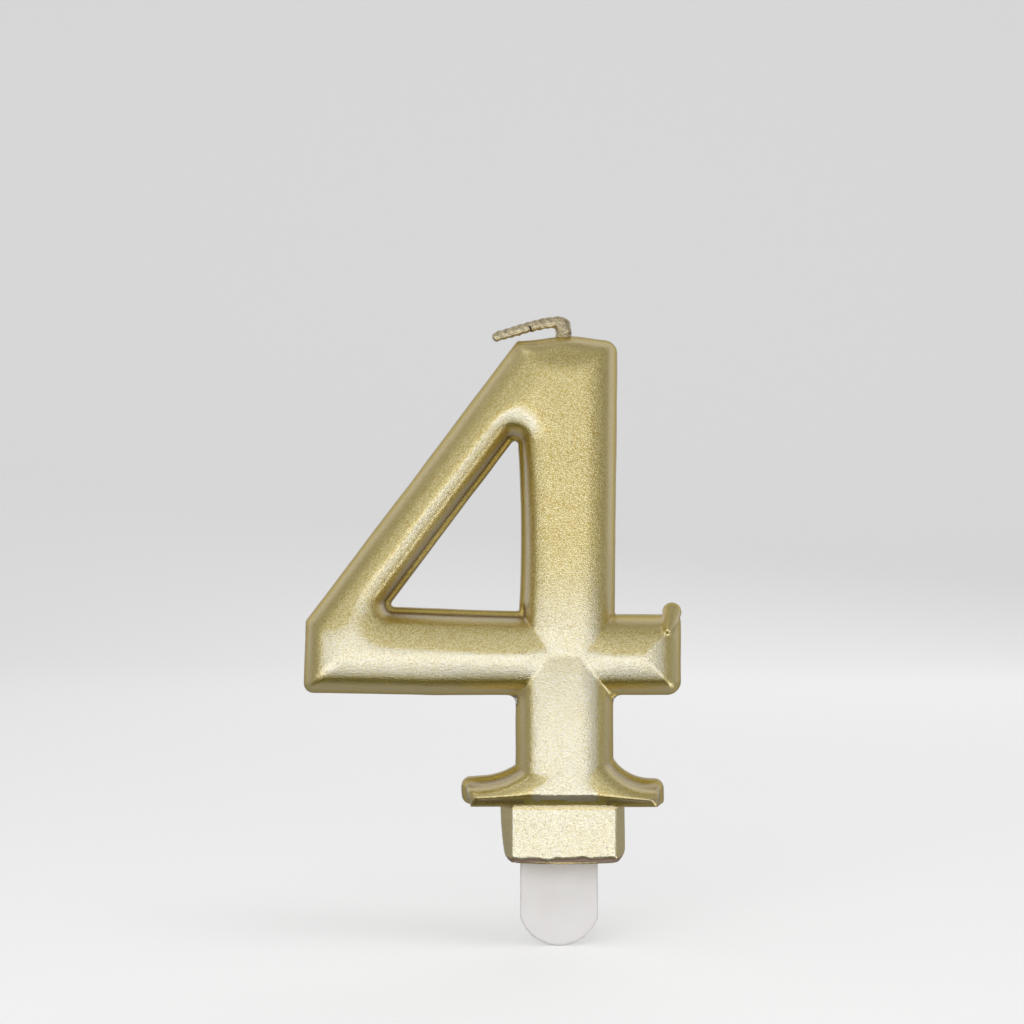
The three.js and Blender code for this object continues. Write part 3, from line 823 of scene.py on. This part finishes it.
class Shader:
    """A node material under construction."""

    def __init__(self, name):
        self.material = bpy.data.materials.new(name)
        self.material.use_nodes = True
        self.tree = self.material.node_tree
        self.tree.nodes.clear()
        self.surface = self.node("ShaderNodeBsdfPrincipled")
        output = self.node("ShaderNodeOutputMaterial")
        self.link(self.surface.outputs[0], output.inputs["Surface"])
        self.place = self.node("ShaderNodeTexCoord").outputs["Object"]

    def node(self, kind, **settings):
        made = self.tree.nodes.new(kind)
        for key, value in settings.items():
            setattr(made, key, value)
        return made

    def link(self, source, target):
        self.tree.links.new(source, target)

    def feed(self, target, value):
        """Links a socket or sets a plain value."""
        if isinstance(value, bpy.types.NodeSocket):
            self.link(value, target)
        else:
            target.default_value = value

    def attribute(self, name):
        return self.node("ShaderNodeAttribute", attribute_name=name).outputs["Fac"]

    def texture(self, kind, size, **inputs):
        """Texture that stays on the object, with features of about this many millimetres."""
        made = self.node(kind)
        self.link(self.place, made.inputs["Vector"])
        made.inputs["Scale"].default_value = 1 / (size * MM)
        for key, value in inputs.items():
            made.inputs[key].default_value = value
        return made.outputs

    def noise(self, size, detail=2.0, roughness=0.5):
        return self.texture("ShaderNodeTexNoise", size, Detail=detail, Roughness=roughness)["Fac"]

    def flakes(self, size):
        """Random value for each flake."""
        return self.texture("ShaderNodeTexVoronoi", size)["Color"]

    def ranged(self, value, low, high, to_low=0.0, to_high=1.0, smooth=True):
        made = self.node("ShaderNodeMapRange", interpolation_type="SMOOTHSTEP" if smooth else "LINEAR")
        self.feed(made.inputs["Value"], value)
        for key, number in zip(("From Min", "From Max", "To Min", "To Max"), (low, high, to_low, to_high)):
            made.inputs[key].default_value = number
        return made.outputs["Result"]

    def maths(self, operation, a, b):
        made = self.node("ShaderNodeMath", operation=operation)
        self.feed(made.inputs[0], a)
        self.feed(made.inputs[1], b)
        return made.outputs[0]

    def times(self, a, b):
        return self.maths("MULTIPLY", a, b)

    def rest(self, share):
        """What is left of 1."""
        return self.maths("SUBTRACT", 1.0, share)

    def ragged(self, value, texture, depth):
        """Value whose edges a texture makes uneven."""
        return self.maths("ADD", value, self.ranged(texture, 0.3, 0.7, -depth, depth, smooth=False))

    def layered(self, base, layers):
        """Colour with further colours over it, each by its share."""
        tone = (*base, 1)
        for share, colour_over in layers:
            made = self.node("ShaderNodeMix", data_type="RGBA")
            for socket, value in zip((0, 6, 7), (share, tone, (*colour_over, 1))):
                self.feed(made.inputs[socket], value)
            tone = made.outputs[2]
        return tone

    def blend(self, share, a, b):
        """Mix of two numbers."""
        made = self.node("ShaderNodeMix", data_type="FLOAT")
        self.feed(made.inputs["Factor"], share)
        self.feed(made.inputs[2], a)
        self.feed(made.inputs[3], b)
        return made.outputs[0]

    def bump(self, height, depth, strength=1.0, normal=None):
        """Bump of this many millimetres."""
        made = self.node("ShaderNodeBump")
        made.inputs["Strength"].default_value = strength
        made.inputs["Distance"].default_value = depth * MM
        self.link(height, made.inputs["Height"])
        if normal is not None:
            self.link(normal, made.inputs["Normal"])
        return made.outputs["Normal"]

    def spot(self, centre, size, depth):
        """Round spot, its centre and size in millimetres."""
        made = self.node("ShaderNodeVectorMath", operation="DISTANCE")
        self.link(self.place, made.inputs[0])
        made.inputs[1].default_value = [value * MM for value in centre]
        edge, core = 1.15 * size * MM, 0.6 * size * MM
        return self.ranged(made.outputs["Value"], edge, core, 0.0, depth, smooth=False)

    def finish(self, inputs):
        """Links or sets the surface's inputs."""
        for key, value in inputs.items():
            self.feed(self.surface.inputs[key], value)
        return self.material


# Dark spots on the paint: centre and size in millimetres, then depth of tone.
MARKS = (
    ((1.2, -6.4, 64.5), 0.3, 0.35),
    ((1.95, -5.2, 79.7), 0.22, 0.8),
    ((-6.4, -5.0, 23.7), 0.22, 0.8),
    ((0.7, -6.3, 16.1), 0.28, 0.45),
    ((1.15, -6.3, 16.2), 0.22, 0.4),
    ((8.7, -1.6, 38.4), 0.45, 0.9),
    ((18.0, -1.6, 38.4), 0.5, 0.8),
    ((6.7, -5.4, 2.6), 0.16, 0.7),
    ((-0.3, -5.4, 5.1), 0.14, 0.6),
    ((6.2, -5.4, 3.3), 0.13, 0.6),
    ((-3.1, -5.4, 1.5), 0.13, 0.6),
)


def gold_paint(finish):
    """Satin champagne-gold metallic paint with a fine grain, over white wax."""
    shader = Shader("gold_paint")
    inset = shader.attribute("inset")
    grain = shader.noise(0.24, 2.0, 0.6)
    speck = shader.flakes(0.15)
    # Painted highlight: paler gold where the low key light shines, low on the candle and on down-facing
    # slopes, away from the outline.
    thin = shader.times(shader.attribute("thin"), shader.ranged(inset, 2.4, 4.0))
    # Painted shade: brown in the concave crease just inside the rim, as much as the ledge note allows.
    crease = shader.times(shader.ranged(inset, 0.45, 0.95), shader.ranged(inset, 1.7, 1.0))
    sandy = shader.ranged(inset, 1.2, 3.2, 0.25, 1.0)
    dark = shader.times(sandy, shader.ranged(speck, 0.52, 0.25, 0.0, 0.85, smooth=False))
    pale = shader.times(sandy, shader.ranged(speck, 0.5, 0.75, 0.0, 0.8, smooth=False))
    chip = shader.ragged(shader.attribute("bare"), grain, 0.22)
    chipped = shader.ranged(chip, 0.42, 0.55)
    # Torn edge and painted shade: brown, unpainted wax in the recessed groove along the foot's ragged lower
    # edge.
    torn_and_shaded = shader.ranged(shader.ragged(shader.attribute("torn"), speck, 0.2), 0.4, 0.6)
    layers = [
        (shader.ranged(inset, 1.1, 2.8), finish.gold),
        (thin, finish.gold_highlight),
        (shader.times(crease, shader.attribute("ledge")), finish.crease_shade),
        (shader.ranged(inset, 0.5, 0.15), finish.rim),
        (dark, finish.flake_dark),
        (pale, finish.flake_pale),
        (shader.times(thin, 0.45), finish.gold_highlight),
        (shader.ranged(shader.noise(7.0, 3.0), 0.35, 0.65, 0.0, 0.12), finish.gold_flank),
        *((shader.spot(*mark), finish.torn_wax_and_shade) for mark in MARKS),
        (shader.ranged(chip, 0.2, 0.36), finish.torn_wax_and_shade),
        (chipped, finish.bare_wax),
        (torn_and_shaded, finish.torn_wax_and_shade),
    ]
    painted = shader.rest(shader.maths("MAXIMUM", chipped, torn_and_shaded))
    bright = shader.times(shader.rest(shader.times(dark, 0.75)), shader.ranged(inset, 0.3, 1.3, 0.25, 1.0))
    normal = shader.bump(shader.noise(0.13, 0.0), 0.02, 1.0, shader.bump(grain, 0.05))
    return shader.finish({
        "Base Color": shader.layered(finish.gold_flank, layers),
        "Metallic": shader.times(painted, 0.88),
        "Roughness": shader.blend(painted, 0.6, shader.ranged(grain, 0.25, 0.75, 0.3, 0.44)),
        "IOR": 2.5,
        "Coat Weight": shader.times(painted, bright),
        "Coat IOR": 3.6,
        "Coat Roughness": 0.23,
        "Normal": normal,
        "Coat Normal": normal,
    })


def wick_paint(finish):
    """Gold paint and wax on braided cotton."""
    shader = Shader("wick_paint")
    fibre = shader.noise(0.14, 3.0, 0.65)
    lump = shader.noise(0.5)
    deep = shader.ragged(shader.attribute("gap"), fibre, 0.15)
    layers = [
        (shader.ranged(fibre, 0.3, 0.7, 0.0, 0.5), finish.wick_pale),
        # Painted shade: dark in the gaps between strands and in the crack; the next layer adds random dark
        # specks.
        (shader.ranged(deep, 0.25, 0.65), finish.wick_specks_and_gap_shade),
        (shader.ranged(shader.noise(0.3, 1.0), 0.6, 0.68, 0.0, 0.6), finish.wick_specks_and_gap_shade),
    ]
    return shader.finish({
        "Base Color": shader.layered(finish.wick, layers),
        "Metallic": 0.85,
        "Roughness": shader.ranged(lump, 0.35, 0.65, 0.28, 0.5),
        "Coat Weight": 0.7,
        "Coat IOR": 2.6,
        "Coat Roughness": 0.2,
        "Normal": shader.bump(fibre, 0.06, 0.8, shader.bump(lump, 0.12, 0.7)),
    })


def pick_plastic(finish):
    """Smooth white moulded plastic."""
    shader = Shader("pick_plastic")
    flow = shader.noise(4.0)
    layers = [(shader.ranged(flow, 0.3, 0.7, 0.0, 0.5), finish.pick_flow)]
    return shader.finish({
        "Base Color": shader.layered(finish.pick, layers),
        "Roughness": shader.ranged(flow, 0.3, 0.7, 0.36, 0.46),
        "Subsurface Weight": 0.15,
        "Subsurface Radius": (0.002, 0.0016, 0.0014),
        "Subsurface Scale": 0.5,
        "Normal": shader.bump(shader.noise(0.35), 0.006, 0.5, shader.bump(flow, 0.05, 0.4)),
    })


def paper(name, value, glow=0.0):
    """Plain matt surface with a faint tooth; the glow lifts its tone in the picture and in reflections."""
    shader = Shader(name)
    tooth = shader.ranged(shader.noise(1.2), 0.3, 0.7)
    ray = shader.node("ShaderNodeLightPath").outputs
    seen = shader.maths("MAXIMUM", ray["Is Camera Ray"], ray["Is Glossy Ray"])
    seen = shader.maths("MAXIMUM", seen, ray["Is Transmission Ray"])
    return shader.finish({
        "Base Color": shader.layered((value,) * 3, [(tooth, (0.985 * value,) * 3)]),
        "Roughness": 0.9,
        "Specular IOR Level": 0.1,
        "Emission Color": (1, 1, 1, 1),
        "Emission Strength": shader.times(seen, glow),
    })


# ---------------------------------------------------------------- operators


def near(points, centre, radius):
    """1 at a centre, falling to 0 at a radius."""
    gap = np.linalg.norm((points - np.array(centre)) / np.array(radius), axis=1)
    return np.clip(1 - gap, 0, 1)


class CANDLE_OT_wax(Operator):
    """Cast the wax number with its collar, foot and vent stub"""

    bl_idname = "candle.wax"
    bl_label = "Wax Casting"

    # Bare chips in the paint: centre and half sizes in millimetres.
    CHIPS = (
        ((-7.45, -2.0, 24.7), (0.9, 5.0, 1.3)),
        ((8.0, -2.0, 24.9), (0.5, 5.0, 0.7)),
        ((-11.9, -3.0, 8.5), (1.5, 4.0, 0.5)),
    )

    def paint_inset(self, shape, points):
        """Outline's inset for the paint to go by, but set on the foot, under the crest and on the stub."""
        x, y, z = points.T
        collar = shape.collar
        foot_face, foot_side, face_from = 4.0, 2.0, 5.2
        crest_high, crest_low, crest_middle, crest_end = 0.56, 0.47, 6.5, 15
        below, below_rise = 1.3, 1.6
        stub_skin, stub_front, stub_inset = 0.25, 1.5, 1.6
        near_face = np.abs(np.abs(y) - collar.foot_thickness / 2) < 0.12
        on_foot = (z < collar.bottom) | ((z < collar.bottom + 1) & near_face)
        # On the foot the inset is set deep on its front face, which lets the painted highlight cover it.
        inset = np.where(on_foot, np.where(np.abs(y) < face_from, foot_side, foot_face), shape.inset(x, z))
        # Under the collar's crest the inset is set low, which paints brown crease shade on the overhang's
        # underside.
        crest = shape.swept.crest(x, z) / collar.undercut
        crest_top = np.where(np.abs(x) < crest_middle, crest_high, crest_low)
        under = (crest > -0.05) & (crest < crest_top) & (np.abs(x) < crest_end)
        inset = np.where(under, np.minimum(inset, below + below_rise * np.clip(crest - 0.1, 0, 1)), inset)
        on_stub = (shape.vent_stub(x, y, z) < stub_skin) & (y < -stub_front)
        return np.where(on_stub, np.maximum(inset, stub_inset * smooth_step(-y, stub_front, 3.0)), inset)

    def paint_notes(self, shape, points):
        """What the paint has to know at each point of the wax."""
        x, _, z = points.T
        facing_up = slope_of(shape, points)[:, 2]
        # Painted highlight: paler paint low on the candle, less where the surface faces up, and on every
        # down-facing slope, where the low key light shines.
        low_highlight = smooth_step(z, 50, 29) * (0.9 - 0.8 * smooth_step(facing_up, 0.03, 0.14))
        on_collar = (z < 17) & (shape.swept(x, z) > shape.face(x, z))
        yield "inset", self.paint_inset(shape, points)
        yield "thin", np.maximum(low_highlight, 0.85 * smooth_step(-facing_up, 0.08, 0.24))
        # The ledge note also sets how much brown crease shade is painted: strong on the collar, faint low on
        # the stem.
        yield "ledge", np.where(on_collar, 0.7, np.where(z < 20, 0.1, shape.face.ledge(x, z)))
        yield "bare", np.max([near(points, *chip) for chip in self.CHIPS], axis=0)
        # Band of the recessed groove under the foot's ragged edge, where torn wax and painted shade are put.
        yield "torn", smooth_step(shape.torn_top(x) - z, -0.15, 0.15) * smooth_step(z, 0.15, 0.4)

    def execute(self, context):
        shape = WaxShape(context)
        pitch = 0.33
        low, high = (-41.5, -7.6, -0.8), (19.8, 7.6, 82.4)
        material = gold_paint(sizes(context, "finish"))
        wax, points = skin("wax_casting", shape, low, high, pitch, material)
        for name, values in self.paint_notes(shape, points):
            note(wax, name, values)
        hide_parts("wax_number")
        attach(wax, "candle")
        return {"FINISHED"}


class WickShape:
    """Signed distance to the braided wick, in millimetres."""

    # Points x, z along the middle of the wick, from inside the wax to the tip.
    ROUTE = (
        (0.15, 78.0), (0.15, 80.2), (0.17, 81.6), (0.15, 82.6), (-0.25, 83.2), (-1.1, 83.32), (-2.2, 83.2),
        (-3.6, 82.95), (-5.0, 82.6), (-6.2, 82.28), (-7.4, 81.9), (-8.8, 81.5), (-10.3, 81.05),
    )
    STEPS, EASING = 220, 12
    STUB_TO, FREE_FROM = (4.2, 6.6), (5.6, 7.2)

    def __init__(self, wick):
        self.wick = wick
        route = np.array(self.ROUTE)
        step = np.linalg.norm(np.diff(route, axis=0), axis=1)
        along = np.concatenate([[0], np.cumsum(step)])
        fine = np.linspace(0, along[-1], self.STEPS)
        middle = np.stack([np.interp(fine, along, route[:, k]) for k in (0, 1)], 1)
        for _ in range(self.EASING):
            middle[1:-1] = (middle[:-2] + 2 * middle[1:-1] + middle[2:]) / 4
        heading = np.gradient(middle, axis=0)
        heading /= np.linalg.norm(heading, axis=1, keepdims=True)
        none = 0 * fine
        side = np.stack([-heading[:, 1], none, heading[:, 0]], 1)
        radius = between(wick.fold_radius, wick.tip_radius, fine / along[-1])
        self.radius = between(radius, wick.stub_radius, 1 - smooth_step(fine, *self.STUB_TO))
        self.middle = np.stack([middle[:, 0], none, middle[:, 1]], 1)
        self.strands = [self.strand(side, fine, number / 3) for number in range(3)]
        self.lower = self.lower_fold(side, fine)

    def strand(self, side, fine, turn):
        """One strand of the braid, which swings from side to side and from front to back."""
        spread, flatness = 1.15, 0.6
        phase = 2 * math.pi * (fine / self.wick.lay + turn)
        swing = self.radius * (1 - self.wick.strand) * spread
        across = (swing * np.sin(phase))[:, None] * side
        depth = (flatness * swing * np.sin(2 * phase))[:, None] * np.array([0, 1, 0])
        return self.middle + across + depth

    def lower_fold(self, side, fine):
        """Roll of wax along the lower front of the free end."""
        below, wave, before = 0.42, 0.05, 0.34
        free = smooth_step(fine, *self.FREE_FROM)
        drop = self.radius * (below + wave * np.sin(7 * fine)) * free
        front = self.radius * before * free
        return self.middle - np.stack([-side[:, 0] * drop, front, -side[:, 2] * drop], 1)

    @staticmethod
    def tube(line, radius, points):
        """Distance from points to a round tube along a line."""
        best = np.full(len(points), FAR)
        for start in range(0, len(line) - 1, 2):
            a, b = line[start], line[min(start + 2, len(line) - 1)]
            run = b - a
            t = np.clip((points - a) @ run / (run @ run), 0, 1)
            gap = np.linalg.norm(points - a - t[:, None] * run, axis=1)
            best = np.minimum(best, gap - radius[start])
        return best

    @staticmethod
    def crack(points):
        """Crack across the lower half of the folded end."""
        middle_x, lean, middle_z, half_width, top, back = -4.93, 0.25, 82.2, 0.1, 82.62, -0.2
        x, y, z = points.T
        across = np.abs(x - middle_x + lean * (z - middle_z)) - half_width
        return np.maximum(np.maximum(across, z - top), y - back)

    def braid(self, points):
        """Strands that press into each other, with the roll of wax and the crack."""
        core, strand, roll = 0.86, self.wick.strand, 0.5
        made = self.tube(self.middle, self.radius * core, points)
        for line in self.strands:
            made = smooth_min(made, self.tube(line, self.radius * strand, points), 0.22)
        made = smooth_min(made, self.tube(self.lower, self.radius * roll, points), 0.08)
        made += 0.035 * ripple(*points.T, wavelength=0.8, seed=21)
        made += 0.02 * ripple(*points.T, wavelength=0.4, seed=22)
        return np.maximum(made, -self.crack(points))

    def __call__(self, x, y, z):
        shape = np.broadcast(x, y, z).shape
        points = np.stack([np.broadcast_to(v, shape).ravel() for v in (x, y, z)], 1).astype(float)
        distance = self.tube(self.middle, self.radius, points)
        close = distance < 0.9
        distance[close] = self.braid(points[close])
        return distance.reshape(shape)


class CANDLE_OT_wick(Operator):
    """Braid the wick and fold its end over"""

    bl_idname = "candle.wick"
    bl_label = "Braided Wick"

    # Where the wick starts to bend and where it has made its whole bend.
    BEND_START = (-1.1 * MM, 0, 82.3 * MM)
    BEND_END = (-2.5 * MM, 0, 83.2 * MM)

    def execute(self, context):
        shape = WickShape(sizes(context, "wick"))
        pitch = 0.14
        low, high = (-12.2, -1.7, 78.6), (2.0, 1.7, 85.0)
        material = wick_paint(sizes(context, "finish"))
        braid, points = skin("braided_wick", shape, low, high, pitch, material)
        # Painted shade: the gap note darkens the recesses between the strands and round the crack.
        strand_gap_shade = smooth_step(-shape.tube(shape.middle, shape.radius, points), 0.1, 0.3)
        note(braid, "gap", np.maximum(strand_gap_shade, smooth_step(shape.crack(points), 0.12, 0.02)))
        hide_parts("wick", "wick_tip")
        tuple(self.BEND_START)
        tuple(self.BEND_END)
        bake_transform(braid)
        return {"FINISHED"}


class CANDLE_OT_pick(Operator):
    """Mould the flat holder pick"""

    bl_idname = "candle.pick"
    bl_label = "Holder Pick"

    def execute(self, context):
        pick = sizes(context, "pick")

        def plate(x, y, z, half_width, half_thickness, low_outline, top):
            """Flat plate with rounded edges."""
            outline = np.maximum(np.maximum(np.abs(x - pick.centre) - half_width, low_outline), z - top)
            across = np.maximum(outline + pick.edge, 0)
            through = np.maximum(np.abs(y) - half_thickness + pick.edge, 0)
            inner = np.maximum(outline, np.abs(y) - half_thickness) + pick.edge
            return np.hypot(across, through) + np.minimum(inner, 0) - pick.edge

        def shape(x, y, z):
            arc = np.hypot(x - pick.centre, z + pick.below - pick.end_radius) - pick.end_radius
            middle = pick.end_radius - pick.below
            lower = np.where(z < middle, arc, -FAR)
            blade = plate(x, y, z, pick.width / 2, pick.thickness / 2, lower, pick.top)
            half = pick.tang_thickness / 2
            tang = plate(x, y, z, pick.width / 2, half, middle - z, pick.tang)
            return np.minimum(blade, tang)

        pitch = 0.28
        low, high = (-7.6, -1.6, -14.2), (6.6, 1.6, 12.9)
        material = pick_plastic(sizes(context, "finish"))
        blade, _ = skin("pick_blade", shape, low, high, pitch, material)
        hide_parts("holder_pick")
        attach(blade, "holder")
        return {"FINISHED"}


class CANDLE_OT_studio(Operator):
    """Set up the floor, the lights and the camera"""

    bl_idname = "candle.studio"
    bl_label = "Studio"

    # Setting, azimuth, elevation, reach in metres, width and height in degrees, and seen in reflections.
    PANELS = (
        ("key", -10, -18, 0.4, 92, 34, True),
        ("brow", -10, 21, 0.4, 76, 28, True),
        ("side", 84, -40, 0.45, 34, 26, True),
        ("upper", -60, 62, 0.45, 40, 24, True),
        ("top", 40, 62, 0.8, 36, 36, False),
        ("fill", -15, 22, 0.8, 36, 36, False),
        ("back", 165, 30, 0.8, 36, 36, False),
    )
    # Point that the panels face.
    AIM = Vector((-0.008, 0, 0.036))
    FLOOR_SIDE, BACKDROP_FROM, BACKDROP_BEND, BACKDROP_TOP = 3.0, 0.7, 0.6, 2.4

    def panel_light(self, name, azimuth, elevation, reach, wide, high, mirrored, radiance):
        """Rectangular soft light at an angle round the candle."""
        turn, tilt = math.radians(azimuth), math.radians(elevation)
        away = Vector((math.sin(turn) * math.cos(tilt), -math.cos(turn) * math.cos(tilt), math.sin(tilt)))
        light = bpy.data.lights.new(name, "AREA")
        light.shape = "RECTANGLE"
        light.size = 2 * reach * math.tan(math.radians(wide / 2))
        light.size_y = 2 * reach * math.tan(math.radians(high / 2))
        light.energy = radiance * math.pi * light.size * light.size_y
        lamp = bpy.data.objects.new(name, light)
        lamp.location = self.AIM + reach * away
        lamp.rotation_euler = (-away).to_track_quat("-Z", "Y").to_euler()
        lamp.visible_camera = False
        lamp.visible_glossy = mirrored
        bpy.context.scene.collection.objects.link(lamp)

    def sheet(self, name, west, east, south, north, height, material):
        """Level sheet."""
        corners = [(west, south, height), (east, south, height), (east, north, height), (west, north, height)]
        level = mesh_object(name, corners, [(0, 1, 2, 3)], material)
        return level

    def backdrop(self, material):
        """Paper that bends up from the floor behind the candle."""
        near, bend, floor = self.BACKDROP_FROM, self.BACKDROP_BEND, CAD_BOX[0].z
        turns = np.linspace(0, math.pi / 2, 40)
        profile = [(near + bend * math.sin(turn), floor + bend * (1 - math.cos(turn))) for turn in turns]
        profile.append((near + bend, self.BACKDROP_TOP))
        corners = [(x, y, z) for y, z in profile for x in (-self.FLOOR_SIDE, self.FLOOR_SIDE)]
        faces = [(2 * i, 2 * i + 1, 2 * i + 3, 2 * i + 2) for i in range(len(profile) - 1)]
        mesh_object("backdrop", corners, faces, material, smooth=True)

    def floor_and_cloth(self, studio):
        """Pale floor with its backdrop, and a dark cloth below that only reflections see."""
        ground = paper("ground", studio.ground, studio.glow)
        side = self.FLOOR_SIDE
        floor = self.sheet("floor", -side, side, -side, self.BACKDROP_FROM, CAD_BOX[0].z, ground)
        floor.visible_glossy = False
        floor.visible_shadow = False
        self.backdrop(ground)
        cloth = self.sheet("dark_cloth", -0.8, 0.8, -0.44, -0.03, -0.36, paper("black_cloth", 0.02))
        for ray in ("camera", "diffuse", "transmission", "shadow", "volume_scatter"):
            setattr(cloth, "visible_" + ray, False)

    def surroundings(self, studio):
        """Even soft light from all round."""
        world = bpy.data.worlds.new("surroundings")
        world.use_nodes = True
        background = world.node_tree.nodes["Background"]
        background.inputs["Color"].default_value = (1, 1, 1, 1)
        background.inputs["Strength"].default_value = studio.sky
        bpy.context.scene.world = world

    def camera(self, studio):
        """Camera that looks straight at the candle's front."""
        sensor = 36
        camera_data = bpy.data.cameras.new("camera")
        camera_data.sensor_width = sensor
        camera_data.lens = sensor * studio.distance / studio.frame_width
        camera_data.clip_start, camera_data.clip_end = 0.01, 20
        camera = bpy.data.objects.new("camera", camera_data)
        camera.location = (studio.frame_x * MM, -studio.distance * MM, studio.frame_z * MM)
        camera.rotation_euler = (math.pi / 2, 0, 0)
        bpy.context.scene.collection.objects.link(camera)
        bpy.context.scene.camera = camera

    def execute(self, context):
        studio = sizes(context, "studio")
        self.floor_and_cloth(studio)
        for name, *placing in self.PANELS:
            self.panel_light(name + "_panel", *placing, getattr(studio, name))
        self.surroundings(studio)
        self.camera(studio)
        context.scene.view_settings.view_transform = "Standard"
        return {"FINISHED"}


class CANDLE_PT_builder(Panel):
    """Lists the candle's pieces and sizes"""

    bl_label = "Number Candle"
    bl_space_type = "VIEW_3D"
    bl_region_type = "UI"
    bl_category = "Candle"

    def draw(self, context):
        for operator in OPERATORS:
            self.layout.operator(operator.bl_idname)
        for name, group in GROUPS.items():
            box = self.layout.box()
            box.label(text=name.capitalize())
            for key in group.__annotations__:
                box.prop(getattr(context.scene, "candle_" + name), key)


OPERATORS = (CANDLE_OT_studio, CANDLE_OT_wax, CANDLE_OT_wick, CANDLE_OT_pick)
CLASSES = (*GROUPS.values(), *OPERATORS, CANDLE_PT_builder)


def register():
    for item in CLASSES:
        bpy.utils.register_class(item)
    for name, group in GROUPS.items():
        setattr(bpy.types.Scene, "candle_" + name, PointerProperty(type=group))


def unregister():
    for name in GROUPS:
        delattr(bpy.types.Scene, "candle_" + name)
    for item in reversed(CLASSES):
        bpy.utils.unregister_class(item)


def main():
    register()
    bpy.ops.candle.studio()
    bpy.ops.candle.wax()
    bpy.ops.candle.wick()
    bpy.ops.candle.pick()


if __name__ == "__main__":
    main()
